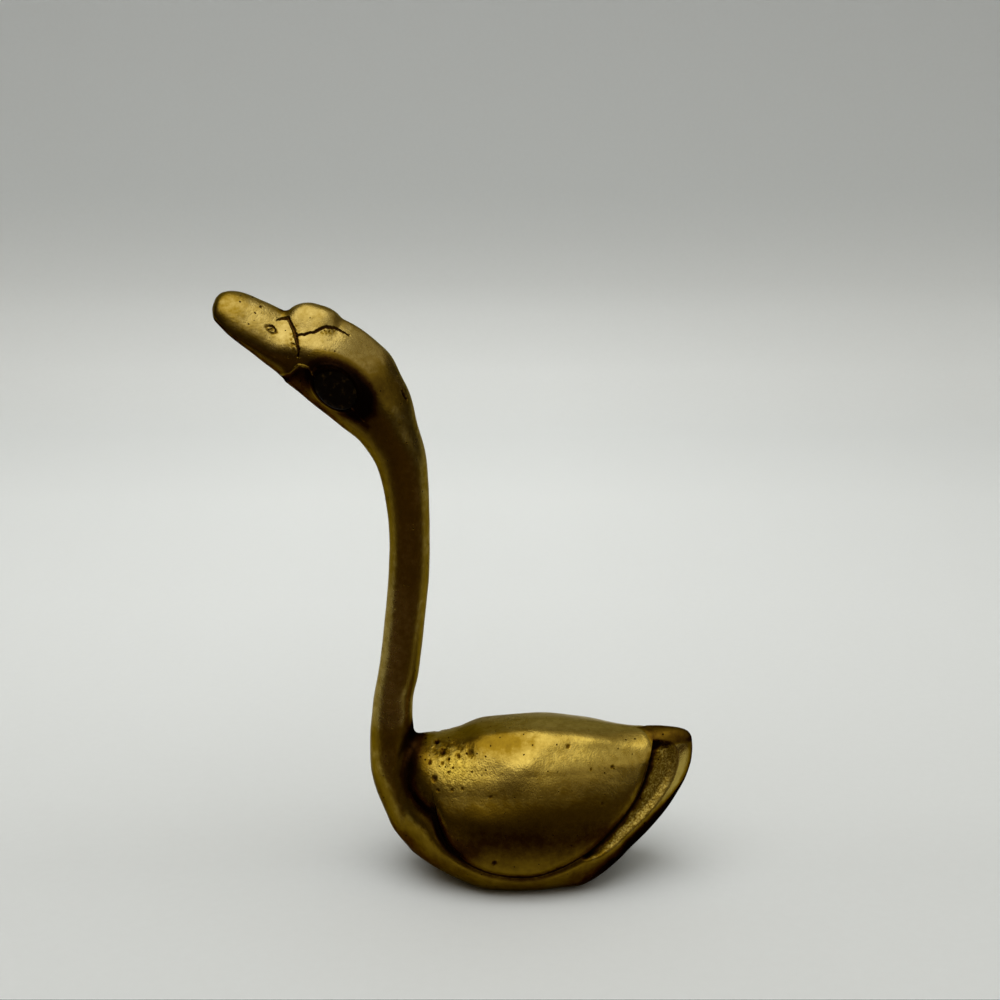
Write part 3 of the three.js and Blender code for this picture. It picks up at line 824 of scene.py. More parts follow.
def finish_piece(bm, name, node, slot, material, *layers):
    """Turns a bmesh in millimetres into a finished piece that stands for a CAD node, inside the CAD model's box."""
    low, high = (np.array(corner) / MM for corner in cad_box)
    move_points(bm, np.clip(points_of(bm)[0], low, high))
    bmesh.ops.scale(bm, vec=(MM, MM, MM), verts=bm.verts[:])
    for face in bm.faces:
        face.smooth = True
    piece = to_object(bm, name)
    for title, values in zip(FILM_LAYERS, layers):
        layer = piece.data.attributes.new(title, "FLOAT", "POINT")
        layer.data.foreach_set("value", np.clip(values, 0, 1.6).astype(np.float32))
    piece.data.materials.append(material)
    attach(piece, "root")
    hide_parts(node)
    return piece


# The rough dark patch over the shoulder's pits, and the middle of the golden area, seen from the side.
SCAB = np.array([[-15.5, 26.9], [-12.0, 27.1], [-8.5, 27.1]])
GOLD_SPOT = (-12.0, 24.6)


def shoulder_marks(points):
    """The shoulder's rough golden area, and the ragged dark patch above it, from 0 to 1."""
    view = side_view(points)
    ragged = ramp(unevenness(points, 1.4, 53) + 0.5 * unevenness(points, 0.7, 54), -0.2, 0.6)
    scab = bell(away(view, SCAB), 0.9) * ragged * (np.abs(points[:, 1]) > MIDDLE_CLEAR)
    return spot(view, GOLD_SPOT, 2.8, [0.6, 0.9]), scab


def body_gold(points, golden):
    """How deep the metal's gold is on body and wings, from 0 to 1: most on the shoulder, and less up the neck."""
    return (0.6 + 0.4 * golden) * (1 - ramp(points[:, 2], 27, 34) * (points[:, 0] < -14))


def top_shade(points):
    """Painted shade along the top of shoulder and back, standing in for a dim reflection there: up to 1 in front and
    1.7 behind.
    """
    x, _, z = points.T
    return bell(z - 28.8, 1.7) * (1 - ramp(x, -2, 7)) * (1 + 0.7 * ramp(x, -13, -8))


def lid_darkening(points):
    """How much darker the tail's lid is made, from 0 to 1."""
    return ramp(past_lid_line(points), -0.2, 0.3) * ramp(points[:, 2], 26.4, 27.2)


def finish_flank(bm, name, node, points, tarnish_and_shading, grain, dark, marks):
    """Finishes body or wing. Dark pits, the shoulder's marks, painted shade along the top and the darker tail's lid add
    to the film.
    """
    golden, scab = marks
    film = tarnish_and_shading + 0.7 * dark + 0.5 * scab - 0.14 * golden + 0.18 * top_shade(points) + 0.6 * lid_darkening(points)
    layers = film, np.maximum(grain, 0.45 * golden), 0.8 * golden, body_gold(points, golden)
    finish_piece(bm, name, node, "aged_brass", aged_cast_brass(), *layers)


# Rings and sides of the balls that the body's skin and its core are moulded from, and degrees that make an edge sharp.
SKIN_BALL, CORE_BALL = (150, 180), (110, 130)
SHARP = 50


def body_skin(s):
    """The outer skin of hull, breast and stub as one mesh, made once for the body and the wings that are let in."""
    skin = bpy.data.meshes.get("body skin")
    if skin is not None:
        return skin
    bm, breast = bmesh.new(), bmesh.new()
    moulded(bm, *SKIN_BALL, body_form(s, 0))
    moulded(breast, 300, 120, neck_form(s, 0))
    cut_flat(breast, s["seam_high"] + 4, True)
    skin = bpy.data.meshes.new("body skin")
    breast.to_mesh(skin)
    breast.free()
    bm.from_mesh(skin)
    bm = recast(bm, s["body_grain"], 4)
    # Where breast and shoulder meet the wax is smoothed to a soft valley, and below it to nothing.
    points, _ = points_of(bm)
    view = side_view(points)
    valley = away(view, VALLEY)
    free = points[:, 2] < s["seam_low"] - 1.5
    under = (points[:, 0] < -5) & (points[:, 2] < 13)
    root = np.linalg.norm(view - np.array(NECK_ROOT), axis=1) < 4
    for chosen, rounds in ((valley < 6, 8), (valley < 4.5, 12), (valley < 3.2, 16), (root, 50), (under, 60)):
        smooth(bm, [v for v, take in zip(bm.verts, chosen & free) if take], rounds)
    points, out = points_of(bm)
    x, _, z = points.T
    low = 1 - ramp(z, 25.0, 30.0) * ramp(-x, 15.0, 18.0)
    depth = 0.5 + 0.5 * (1 - ramp(z, 15.0, 19.0)) * ramp(z, 10.0, 13.0)
    valley = depth * bell(away(side_view(points), VALLEY), 1.6)
    points = points + out * ((filed_relief(points) - valley) * low)[:, None]
    # The stub's end keeps the neck's exact round.
    rows = neck_rows(s)
    last = len(rows) - 1
    middle, forth, _, half = neck_frame(rows, np.linspace((SEAM_ROW - 2.5) / last, (SEAM_ROW + 1.5) / last, 300))
    x, tall, wide = (
        np.interp(points[:, 2], middle[:, 2], values)
        for values in (middle[:, 0], half[:, 0] / forth[:, 2], half[:, 1])
    )
    turn = np.arctan2(points[:, 1] / np.maximum(wide, 1), (points[:, 0] - x) / np.maximum(tall, 1))
    keep = ramp(points[:, 2], s["seam_low"] - 4, s["seam_low"] - 1)[:, None]
    round_end = np.stack([x + tall * np.cos(turn), wide * np.sin(turn), points[:, 2]], 1)
    move_points(bm, points * (1 - keep) + round_end * keep)
    bm.to_mesh(skin)
    bm.free()
    return skin


def body_view(s, bm):
    """The body's points, the ways out, and how far each point lies inside the wing's edge and the tail's hollow."""
    points, out = points_of(bm)
    view = side_view(points)
    wing = within(view, side_outline(s, WING_OUTLINE, s["edge_gap"]))
    return points, out, wing, within(view, side_outline(s, DISH_OUTLINE, 0))


class GOOSE_OT_body(bpy.types.Operator):
    """Makes the body casting: hull, breast, neck stub, wing pockets, tail hollow and foot"""

    bl_idname = "goose.body"
    bl_label = "Body casting"

    def execute(self, context):
        s = in_mm(context.scene.goose_sizes)
        bm = bmesh.new()
        bm.from_mesh(body_skin(s))
        points, out, wing, dish = body_view(s, bm)
        scoop = s["dish_depth"] * ramp(dish, -0.5, 0.9)
        rough = unevenness(points, 2.5, 3) + unevenness(points, 1.2, 4) + 0.7 * unevenness(points, 0.8, 5)
        rough = 0.06 * rough * ramp(dish, -0.6, 0.3)
        lip = 0.4 * bell(wing, 0.7) * standing(*side_view(points).T)
        move_points(bm, points - out * (scoop + rough + lip)[:, None])
        cut_flat(bm, s["seam_low"], True)
        cut_flat(bm, 0, False)
        blank = to_object(bm, "blank")
        pocket = slab_object("pocket", side_outline(s, WING_OUTLINE, s["edge_gap"]))
        core = form_object("core", *CORE_BALL, body_form(s, -s["wing_seat"]))
        hollow = pocket.modifiers.new("core", "BOOLEAN")
        hollow.object, hollow.operation, hollow.solver = core, "DIFFERENCE", "EXACT"
        bm = carved(blank, (pocket, "DIFFERENCE"))
        bpy.data.objects.remove(core)
        sharpen(bm, SHARP)
        points, out, wing, dish = body_view(s, bm)
        x, _, z = points.T
        grain = ramp(dish, -0.6, 0.3)
        groove = (1 - ramp(np.abs(wing), 0.4, 1.05)) * standing(x, z)
        # Painted shadow that the wing's rear edge casts into the channel beside it in the tail's hollow.
        wing_edge_shadow = grain * (1 - ramp(-wing, 0.8, 2.05 + 0.8 * unevenness(points, 2.5, 8)))
        high = ramp(z, 14, 20)
        rim = bell(dish + 1.2, 1.0) * ramp(x, 22, 28) * high * (1 - ramp(z, 26.3, 27.3))
        tarnish_and_shading = weathering_and_under_shade(points, out) + 0.52 * groove + valley_film_and_shade(points) + 0.75 * wing_edge_shadow - 0.55 * rim
        tarnish_and_shading += 0.8 * ramp(wing, 0.05, 0.3) + 0.12 * bell(away(side_view(points), FULL_BREAST), 4)
        # Painted shade: the tail's outer side is made black where it faces down, and so is the keel's rear.
        outer = ramp(-dish, 0.6 + 1.8 * high, 1.6 + 1.8 * high) * ramp(x, 14, 19) * (1 - ramp(out[:, 2], 0.1, 0.5))
        tarnish_and_shading += (0.42 + 0.03 * high) * outer + 0.3 * ramp(x, 8, 16) * ramp(-out[:, 2], 0, 0.4)
        deep, dark = pits(points)
        move_points(bm, points - out * deep[:, None])
        grain = grain * (1 - wing_edge_shadow)
        finish_flank(bm, "goose_body", "body_casting", points, tarnish_and_shading, grain, dark, shoulder_marks(points))
        return {"FINISHED"}


# What stays open of the line round a wing where it was filed flush, how much smaller the ledge in the line is than
# the pocket, how far the ledge lies under the skin, and half the width of the saw's cut along the back.
CLOSED_LINE, LEDGE_PLAY, LEDGE_DEPTH, SAW_HALF = 0.015, 0.04, 0.5, 0.02


class GOOSE_OT_wings(bpy.types.Operator):
    """Makes the two wing shells as one saddle, and saws it along the back"""

    bl_idname = "goose.wings"
    bl_label = "Wing shells"

    def execute(self, context):
        s = in_mm(context.scene.goose_sizes)
        closing = s["edge_gap"] - CLOSED_LINE
        outline = side_outline(s, WING_OUTLINE, lambda x, z: closing * (1 - standing(x, z)))
        bm = bmesh.new()
        bm.from_mesh(body_skin(s))
        cut_plane(bm, (-19, 0, 0), (-1, 0, 0))
        cut_plane(bm, (29, 0, 0), (1, 0, 0))
        points, out = points_of(bm)
        move_points(bm, points + out * (s["wing_proud"] * standing(points[:, 0], points[:, 2]))[:, None])
        shell = to_object(bm, "shell")
        core = form_object("core", *CORE_BALL, body_form(s, s["seat_gap"] - s["wing_seat"]))
        # A thin ledge of solder closes the bottom of the open line.
        ledge = form_object("ledge", *SKIN_BALL, body_form(s, -LEDGE_DEPTH))
        bar = slab_object("bar", side_outline(s, WING_OUTLINE, s["edge_gap"] - LEDGE_PLAY))
        ledge = to_object(carved(ledge, (bar, "INTERSECT")), "ledge")
        saddle = carved(shell, (slab_object("slab", outline), "INTERSECT"), (ledge, "UNION"), (core, "DIFFERENCE"))
        sharpen(saddle, SHARP)
        blank = bpy.data.meshes.new("saddle")
        saddle.to_mesh(blank)
        saddle.free()
        for side, name, node in ((-1, "goose_left_wing", "left_wing"), (1, "goose_right_wing", "right_wing")):
            bm = bmesh.new()
            bm.from_mesh(blank)
            cut_plane(bm, (0, side * SAW_HALF, 0), (0, -side, 0))
            points, _ = points_of(bm)
            x, _, z = points.T
            out = body_outwards(s, points)
            rim = within(side_view(points), outline)
            plain = standing(x, z)
            worn = (0.5 - 0.25 * ramp(x, 8, 14)) * bell(np.maximum(rim, 0), 0.7) * plain * (rim > -0.03)
            ragged = 0.03 * (unevenness(points, 2.4, 6) + unevenness(points, 1.3, 7))
            ragged = ragged * bell(rim, 1.2) * plain * ramp(x, 10, 16)
            deep, dark = pits(points)
            golden, scab = shoulder_marks(points)
            ragged += 0.05 * golden * unevenness(points, 1.0, 55) - 0.12 * scab
            move_points(bm, points + out * (ragged - worn - deep)[:, None])
            edge = np.where(rim < 0.05, 1, 0.4 * bell(np.maximum(rim, 0), 0.6))
            # Painted shade: a dark band low on the wing, standing in for the dark room it mirrors.
            dark_reflection_band = bell(z - 13.0, 4.5) * ramp(x, -13, -7)
            tarnish_and_shading = weathering_and_under_shade(points, out) + 0.6 * edge * plain + 0.7 * valley_film_and_shade(points) + 0.6 * dark_reflection_band
            # The shoulder's ridge is lighter: partly rubbed metal and partly a painted highlight.
            tarnish_and_shading -= 0.16 * shoulder_ridge(points, 2.0, 3.0)
            finish_flank(bm, name, node, points, tarnish_and_shading, 0 * tarnish_and_shading, dark, (golden, scab))
        bpy.data.meshes.remove(blank)
        bpy.data.meshes.remove(body_skin(s))
        return {"FINISHED"}


# Carved lines on the head: x and z seen from the side, and half the width of the stroke.
COLLAR = np.array([
    [-43.2, 109.0, 0.1], [-42.3, 109.3, 0.3], [-41.3, 109.5, 0.35], [-40.5, 108.2, 0.32], [-39.7, 106.7, 0.4],
    [-39.4, 105.6, 0.36], [-39.0, 104.2, 0.25], [-39.2, 102.9, 0.15],
])
BROW = np.array([
    [-39.5, 106.6, 0.2], [-37.9, 106.7, 0.22], [-36.5, 107.0, 0.2], [-35.3, 107.6, 0.28], [-34.2, 107.9, 0.34],
    [-33.0, 107.7, 0.26], [-31.5, 107.0, 0.16], [-30.2, 106.3, 0.08],
])
NICK = np.array([[-20.9, 96.1, 0.15], [-20.5, 95.2, 0.3], [-20.0, 94.2, 0.1]])
# Raised lines under the bill and round the cheek: x and z.
MOUTH = np.array([
    [-42.6, 99.4], [-40.9, 100.0], [-39.8, 101.1], [-39.0, 101.5], [-38.2, 101.4], [-37.4, 101.0], [-36.6, 99.9],
    [-36.0, 98.5],
])
CHEEK = np.array([
    [-36.0, 98.5], [-35.6, 97.2], [-35.0, 96.3], [-34.1, 95.6], [-32.8, 95.1], [-30.6, 94.1], [-29.0, 92.7],
    [-27.7, 91.1],
])
# Places on the head as x and z, but the bill's pits in space.
NOSTRIL = np.array([-44.0, 107.6])
BROW_PATCH, COLLAR_BREAK, BILL_NOTCH = (-34.0, 107.2), (-39.9, 105.6), (-42.0, 110.8)
TEMPLE_HIGHLIGHT, NAPE, BEHIND_EYE = (-32.0, 101.5), (-23.2, 102.3), (-25.5, 96.5)
BILL_PITS = (-45.0, 0.0, 111.5)
# How far the knob lies in front of its place in the CAD model.
KNOB_FORWARD = 0.75


def near_lines(points):
    """Whether a point lies near a carved or raised line, so that the skin must be fine there."""
    view = side_view(points)
    near = np.linalg.norm(view - NOSTRIL, axis=1)
    for path in (COLLAR, BROW, NICK, MOUTH, CHEEK):
        near = np.minimum(near, away(view, path[:, :2]))
    return (near < 0.9) & (np.abs(points[:, 1]) > 0.4)


def forehead_knob(s, points):
    """How far the forehead knob swells out of the crown at each point, down to the brow and collar lines."""
    middle, along, crown, _ = neck_at(s, FOREHEAD_ROW)
    local = points - middle
    run = (local @ along - KNOB_FORWARD) / (s["knob_length"] / 2)
    run = np.where(run < 0, 0.82 * run, run)
    tall = s["knob_width"] * 0.45
    rise = s["knob_rise"] - tall * (1 - np.sqrt(np.clip(1 - run**2, 0, 1))) + 0.25
    rise = 0.5 * (rise + np.sqrt(rise**2 + 0.25)) - 0.16
    rise = np.maximum(rise, 0) * (1 - ramp(np.abs(run), 0.6, 1.2))
    lean = np.degrees(np.arctan2(np.abs(points[:, 1]), local @ crown))
    return rise * (1 - ramp(lean, 0, 64)) * (points[:, 2] > 100)


def nostril_cut(points, hand):
    """The nostril, from 0 to 1: a pointed oval with a dark upper edge and a hatched middle."""
    across, over = (hand - NOSTRIL) @ [0.88, -0.48] / 1.3, (hand - NOSTRIL) @ [0.48, 0.88] / 0.6
    place = np.abs(over) + across**2
    edge = cut_line(place - 0.8, 0.3) * (0.6 + 0.4 * (over > 0))
    return edge + 0.6 * cut_line(place, 0.8) * ramp(unevenness(points, 0.7, 47), -0.3, 0.4)


def eye_frame(s):
    """The eyes' middle in the middle plane, the ways along the head and to its crown, and the section there."""
    middle, along, crown, size = neck_at(s, EYE_ROW)
    return middle - crown * (s["head_height"] * EYE_DROP), along, crown, size


class GOOSE_OT_neck_and_head(bpy.types.Operator):
    """Makes the neck, head and bill, with the knob, nostrils, carved lines and eye sockets"""

    bl_idname = "goose.neck_and_head"
    bl_label = "Neck and head"

    def execute(self, context):
        s = in_mm(context.scene.goose_sizes)
        spacing = ring_spacing(s, 0.7, 0.25, 14.3)
        bm = bmesh.new()
        moulded(bm, len(spacing) - 1, 200, neck_form(s, 0, spacing), near_lines)
        bm.normal_update()
        bmesh.ops.recalc_face_normals(bm, faces=bm.faces[:])
        cut_flat(bm, s["seam_high"], False)
        points, out = points_of(bm)
        move_points(bm, points + forehead_knob(s, points)[:, None] * out)
        points, out = points_of(bm)
        x, _, z = points.T
        aside = np.abs(points[:, 1])
        view = side_view(points)
        hand = view + 0.1 * wobble(points, 1.6, 41) + 0.05 * wobble(points, 0.5, 45)
        # Sockets for the eyes, with a thin raised rim.
        heart, along, crown, _ = eye_frame(s)
        forth, up = (points - heart) @ along, (points - heart) @ crown
        long, tall = s["eye_length"] / 2, s["eye_height"] / 2
        oval = np.where(aside > 3, np.hypot(forth / long, up / tall), 9)
        socket = 0.5 * ramp(-oval, -1.02, -0.9)
        rim = 0.16 * bell(oval - 1.06, 0.05)
        collar, brow, nick = (stroke(hand, path) for path in (COLLAR, BROW, NICK))
        mouth, cheek = (
            bell(away(hand, path), 0.17) * (0.75 + 0.25 * unevenness(points, 2, seed))
            for path, seed in ((MOUTH, 43), (CHEEK, 44))
        )
        # Below the raised cheek and mouth lines: a slight hollow in the skin, and painted shadow in the film.
        under = bell(away(hand, CHEEK + [0.5, -1.1]), 0.7) + bell(away(hand, MOUTH + [0.2, -1.0]), 0.6)
        beside = ramp(aside, 0.5, 1.3)
        nostril = nostril_cut(points, hand)
        hatch = ramp(unevenness(points, 0.6, 48), -0.2, 0.5)
        patch = spot(view, BROW_PATCH, 0.9, [0.75, 1.9]) * hatch
        broken = spot(view, COLLAR_BREAK, 0.9, [1.0, 0.45]) * hatch
        carve = -0.3 * collar - 0.26 * brow + 0.2 * mouth + 0.2 * cheek - 0.1 * under - 0.25 * nostril - 0.2 * nick
        carve = (carve - 0.1 * patch - 0.1 * broken) * beside - socket + rim
        carve += 0.5 * spot(view, NAPE, 3.0) * (1 - ramp(aside, 2, 5))
        # Away from the seam the neck is a little uneven, and fuller at the rear.
        uneven = 0.05 * unevenness(points, 12, 31) + 0.03 * unevenness(points, 5, 32) - 0.05
        rear = 0.4 * ramp(out[:, 0], 0.1, 0.9) * (1 - ramp(z, 82, 92))
        carve += (uneven + rear) * ramp(z, s["seam_high"] + 0.3, s["seam_high"] + 5)
        move_points(bm, points + out * carve[:, None])
        lines = np.maximum.reduce([collar, brow, nostril, nick, 0.8 * patch, 0.6 * broken]) * beside
        # Painted shade round the eye, nearly black and most behind it, standing in for the dark reflection there.
        soot_and_shade = 1 - ramp(np.hypot((forth + 0.6) / (long + 2.0), (up - 1.1) / (tall + 0.3)), 0.8, 1.35)
        soot_and_shade += 0.35 * spot(view, BEHIND_EYE, 3.5) + 0.4 * bell(np.hypot(forth - 4.8, up + 2.4), 2.0)
        soot_and_shade *= aside > MIDDLE_CLEAR
        # Painted shade under the head, where it faces down.
        below = ramp(z, 85, 95) * ramp(-out[:, 2], -0.1, 0.25)
        tarnish_and_shading = weathering_and_under_shade(points, out) + 0.8 * lines + 0.4 * under * beside + soot_and_shade + 0.18 * below
        # A dark stain at the bill's notch, and a painted highlight on the temple.
        tarnish_and_shading += 0.7 * spot(view, BILL_NOTCH, 0.9, [0.8, 1.4]) - 0.1 * spot(view, TEMPLE_HIGHLIGHT, 3.0)
        # Darker towards the bill's tip, and painted shade on the head's top where it faces up.
        tarnish_and_shading += 0.12 * (1 - ramp(x, -54, -46)) + 0.12 * ramp(out[:, 2], 0.6, 0.95) * ramp(z, 100, 106)
        tarnish_and_shading *= 1 - 0.5 * np.maximum(cheek, mouth) * beside
        # The eye's rim is lighter below: partly rubbed metal and partly a painted highlight.
        tarnish_and_shading -= 0.4 * bell(oval - 1.07, 0.06) * (up < 0.5)
        layers = tarnish_and_shading, 0.4 * patch * beside, 0.7 * spot(points, BILL_PITS, 4)
        finish_piece(bm, "goose_neck_and_head", "neck_and_head", "aged_brass", aged_cast_brass(), *layers)
        return {"FINISHED"}


# The play round an eye, how deep its rim lies in the cheek, and the height of its dome and of its underside.
EYE_PLAY, EYE_DEPTH, EYE_DOME, EYE_UNDERSIDE = 0.25, 0.66, 0.55, 0.6


class GOOSE_OT_eyes(bpy.types.Operator):
    """Makes the two black eyes, each a low dome with a ring cut into it"""

    bl_idname = "goose.eyes"
    bl_label = "Set-in eyes"

    def execute(self, context):
        s = in_mm(context.scene.goose_sizes)
        heart, along, crown, size = eye_frame(s)
        cheek = cheek_at(size, -s["head_height"] * EYE_DROP)
        long, tall = s["eye_length"] / 2 - EYE_PLAY, s["eye_height"] / 2 - EYE_PLAY
        for side, name, node in ((-1, "goose_left_eye", "left_eye"), (1, "goose_right_eye", "right_eye")):
            bm = bmesh.new()
            bmesh.ops.create_uvsphere(bm, u_segments=72, v_segments=48, radius=1.0)
            unit = np.array([v.co for v in bm.verts])
            front = unit[:, 2] > 0
            ring = bell(np.hypot(unit[:, 0], unit[:, 1]) - 0.5, 0.07) * front
            dome = np.where(front, EYE_DOME, EYE_UNDERSIDE) * unit[:, 2] - 0.08 * ring
            points = heart + long * unit[:, :1] * along + tall * unit[:, 1:2] * crown
            points[:, 1] += side * (cheek - EYE_DEPTH + dome)
            move_points(bm, points)
            finish_piece(bm, name, node, "dark_eye", black_eye())
        return {"FINISHED"}


class GOOSE_OT_neck_joint(bpy.types.Operator):
    """Makes the flush brazed seam, and gives the hidden dowel its finish"""

    bl_idname = "goose.neck_joint"
    bl_label = "Neck joint"

    def execute(self, context):
        s = in_mm(context.scene.goose_sizes)
        bm = bmesh.new()
        moulded(bm, 400, 200, neck_form(s, 0))
        cut_flat(bm, s["seam_high"], True)
        cut_flat(bm, s["seam_low"], False)
        tarnish_and_shading = weathering_and_under_shade(*points_of(bm))
        finish_piece(bm, "goose_neck_braze", "neck_braze", "brazing_brass", aged_cast_brass(), tarnish_and_shading, 0 * tarnish_and_shading)
        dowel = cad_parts["neck_dowel"]
        dowel.data.materials.clear()
        dowel.data.materials.append(drawn_brass())
        return {"FINISHED"}


# The paper in metres: half its width, its front edge, the bend from floor to backdrop and its radius, and its top.
PAPER_HALF, PAPER_FRONT, BEND_START, BEND_RADIUS, PAPER_TOP = 1.2, -0.048, 0.44, 0.11, 1.0
# How brightly the paper glows, by the distance along it, and the glow's tint. The glow fades away from GLOW_MIDDLE.
PAPER_GLOW = (
    (0.0, 0.0), (0.03, 0.055), (0.09, 0.116), (0.17, 0.18), (0.3, 0.235), (0.4, 0.215), (0.52, 0.185), (0.573, 0.1),
    (0.6, 0.03), (0.63, 0.0),
)
GLOW_TINT, GLOW_MIDDLE = (0.85, 0.87, 0.85), -0.03
# The way to the brightest part of the room, and the room's colours from away from it to there.
ROOM_BRIGHT = (0.12, -0.2, 0.97)
ROOM_GLOW = ((0.2, "2B2014"), (0.4, "443823"), (0.6, "70644E"), (0.78, "B8AE98"), (0.9, "D0CCC2"))
# Lamps: name, place, the point they face, width and depth in metres, and watts.
LAMPS = (
    ("overhead", (-0.13, -0.18, 0.85), (0, 0.02, 0.04), 0.9, 0.9, 4.45),
    ("window", (0.66, -0.36, 0.45), (0, 0, 0.05), 0.5, 0.6, 0.42),
)
# The camera that fits the photograph: lens and sensor in millimetres, place in metres, and tilt in degrees.
LENS, SENSOR, CAMERA_PLACE, CAMERA_TILT = 54.0, 36.0, (-0.003, -0.2731, 0.143), 76


def paper_sheet():
    """A bmesh of the paper: a floor that bends up into a backdrop."""
    bm = bmesh.new()
    back = BEND_START + BEND_RADIUS
    profile = [(y, 0.0) for y in (PAPER_FRONT, 0.0, 0.2, BEND_START)]
    for turn in np.linspace(0.1, math.pi / 2, 14):
        profile.append((BEND_START + BEND_RADIUS * math.sin(turn), BEND_RADIUS - BEND_RADIUS * math.cos(turn)))
    profile += [(back, 0.3), (back, PAPER_TOP)]
    verts = [bm.verts.new((-PAPER_HALF, y, z)) for y, z in profile]
    edges = [bm.edges.new(pair) for pair in zip(verts[:-1], verts[1:])]
    made = bmesh.ops.extrude_edge_only(bm, edges=edges)["geom"]
    far_side = [v for v in made if isinstance(v, bmesh.types.BMVert)]
    bmesh.ops.translate(bm, vec=(2 * PAPER_HALF, 0, 0), verts=far_side)
    for face in bm.faces:
        face.smooth = True
    return bm


def matt_paper():
    """Matt white paper with a faint fibre, painted darker towards the top of the backdrop as shade.

    Its far floor glows a little in the camera's view and in mirrored and refracted ones, as in the photograph."""
    paper = bpy.context.scene.goose_finish.paper
    material, tree, place = new_material("matt paper")
    fibre = noise(tree, place, 2 * MM, 3.0)["Fac"]
    tone = blend(tree, fibre, (0.0, [0.97 * c for c in paper[:3]] + [1]), (1.0, paper))
    split = add_node(tree, "ShaderNodeSeparateXYZ", {"Vector": place}).outputs
    along = maths(tree, "ADD", split["Y"], split["Z"])
    dull = brought(tree, along, 1.0, 0.88, 0.58, 0.75)
    tone = add_node(tree, "ShaderNodeVectorMath", {0: tone, "Scale": dull}, operation="SCALE").outputs["Vector"]
    stops = [(position, [level * c for c in GLOW_TINT] + [1]) for position, level in PAPER_GLOW]
    rays = add_node(tree, "ShaderNodeLightPath").outputs
    seen = rays["Is Camera Ray"]
    for kind in ("Is Glossy Ray", "Is Transmission Ray"):
        seen = maths(tree, "ADD", seen, rays[kind], clamp=True)
    aside = maths(tree, "ABSOLUTE", maths(tree, "SUBTRACT", split["X"], GLOW_MIDDLE))
    seen = maths(tree, "MULTIPLY", seen, brought(tree, aside, 1.0, 0.5, 0.05, 0.26))
    surface(tree, {
        "Base Color": tone, "Roughness": 0.8, "Emission Color": blend(tree, along, *stops), "Emission Strength": seen,
    })
    return material


def brown_wood():
    """Brown wood with broad figure, dull."""
    material, tree, place = new_material("brown wood")
    figure = noise(tree, place, 60 * MM, 4.0)["Fac"]
    tone = blend(tree, figure, (0.0, linear("4A3220")), (1.0, linear("6E5238")))
    surface(tree, {"Base Color": tone, "Roughness": 0.7})
    return material


def dim_room():
    """A world that is brightest above and a little to the front right, where the room's window is."""
    world = bpy.data.worlds.new("dim room")
    world.use_nodes = True
    tree = world.node_tree
    tree.nodes.clear()
    way = add_node(tree, "ShaderNodeTexCoord").outputs["Generated"]
    facing = add_node(tree, "ShaderNodeVectorMath", {0: way, 1: ROOM_BRIGHT}, operation="DOT_PRODUCT").outputs["Value"]
    tone = blend(tree, facing, *((position, linear(code)) for position, code in ROOM_GLOW))
    room = add_node(tree, "ShaderNodeBackground", {"Color": tone, "Strength": 1.0}).outputs["Background"]
    add_node(tree, "ShaderNodeOutputWorld", {"Surface": room})
    return world


def stage_object(scene, bm, name, material):
    """A new object in the scene from a bmesh, which is freed, with its faces as they are."""
    mesh = bpy.data.meshes.new(name)
    bm.to_mesh(mesh)
    bm.free()
    mesh.materials.append(material)
    piece = bpy.data.objects.new(name, mesh)
    scene.collection.objects.link(piece)
    return piece


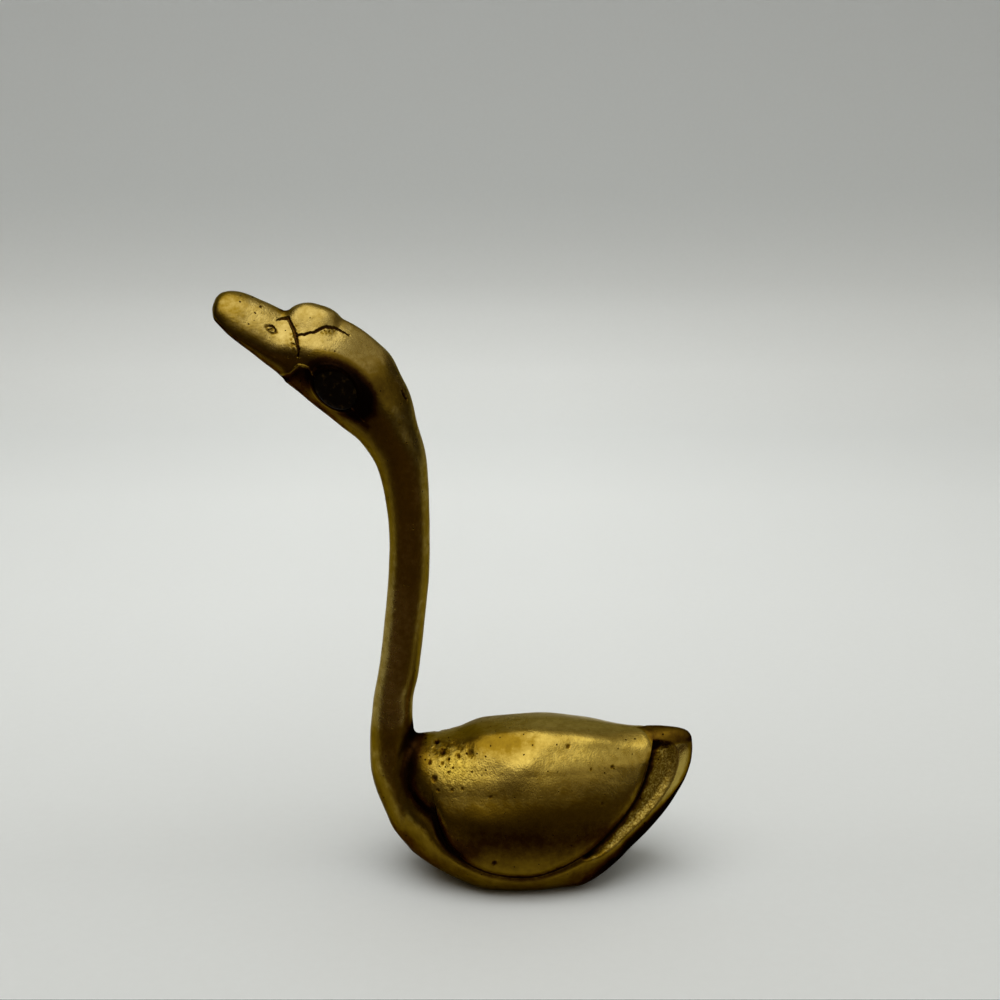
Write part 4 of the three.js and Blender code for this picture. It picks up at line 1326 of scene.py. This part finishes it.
class GOOSE_OT_stage(bpy.types.Operator):
    """Lays the paper sweep, sets the lights and puts the camera where the photograph was taken"""

    bl_idname = "goose.stage"
    bl_label = "Stage"

    def execute(self, context):
        scene = context.scene
        sweep = stage_object(scene, paper_sheet(), "paper_sweep", matt_paper())
        # The table in front of the paper shows only as a mirror image in the brass.
        bm = bmesh.new()
        bmesh.ops.create_grid(bm, x_segments=1, y_segments=1, size=0.5)
        bmesh.ops.translate(bm, vec=(0, -0.55, -0.001), verts=bm.verts[:])
        table = stage_object(scene, bm, "table", brown_wood())
        scene.world = dim_room()
        for name, where, aim, wide, deep, watts in LAMPS:
            lamp = bpy.data.lights.new(name, "AREA")
            lamp.shape, lamp.size, lamp.size_y, lamp.energy = "RECTANGLE", wide, deep, watts
            light = bpy.data.objects.new(name, lamp)
            light.location = where
            light.rotation_euler = (Vector(aim) - Vector(where)).to_track_quat("-Z", "Y").to_euler()
            scene.collection.objects.link(light)
        camera = bpy.data.objects.new("camera", bpy.data.cameras.new("camera"))
        camera.data.lens, camera.data.sensor_width = LENS, SENSOR
        camera.data.clip_start = 0.01
        camera.location = CAMERA_PLACE
        camera.rotation_euler = (math.radians(CAMERA_TILT), 0, 0)
        scene.collection.objects.link(camera)
        scene.camera = camera
        scene.view_settings.view_transform = "Standard"
        return {"FINISHED"}


class GOOSE_PT_panel(bpy.types.Panel):
    """Lists the goose's pieces, sizes and colours"""

    bl_idname = "GOOSE_PT_panel"
    bl_label = "Brass Goose"
    bl_space_type = "VIEW_3D"
    bl_region_type = "UI"
    bl_category = "Goose"

    def draw(self, context):
        for operator in OPERATORS:
            self.layout.operator(operator.bl_idname)
        for group in (context.scene.goose_sizes, context.scene.goose_finish):
            box = self.layout.box()
            for key in group.__annotations__:
                box.prop(group, key)


OPERATORS = (GOOSE_OT_stage, GOOSE_OT_body, GOOSE_OT_wings, GOOSE_OT_neck_and_head, GOOSE_OT_eyes, GOOSE_OT_neck_joint)
CLASSES = (GooseSizes, GooseFinish, *OPERATORS, GOOSE_PT_panel)


def register():
    for item in CLASSES:
        bpy.utils.register_class(item)
    bpy.types.Scene.goose_sizes = PointerProperty(type=GooseSizes)
    bpy.types.Scene.goose_finish = PointerProperty(type=GooseFinish)


def unregister():
    del bpy.types.Scene.goose_finish
    del bpy.types.Scene.goose_sizes
    for item in reversed(CLASSES):
        bpy.utils.unregister_class(item)


def main():
    register()
    bpy.ops.goose.stage()
    bpy.ops.goose.body()
    bpy.ops.goose.wings()
    bpy.ops.goose.neck_and_head()
    bpy.ops.goose.eyes()
    bpy.ops.goose.neck_joint()


if __name__ == "__main__":
    main()
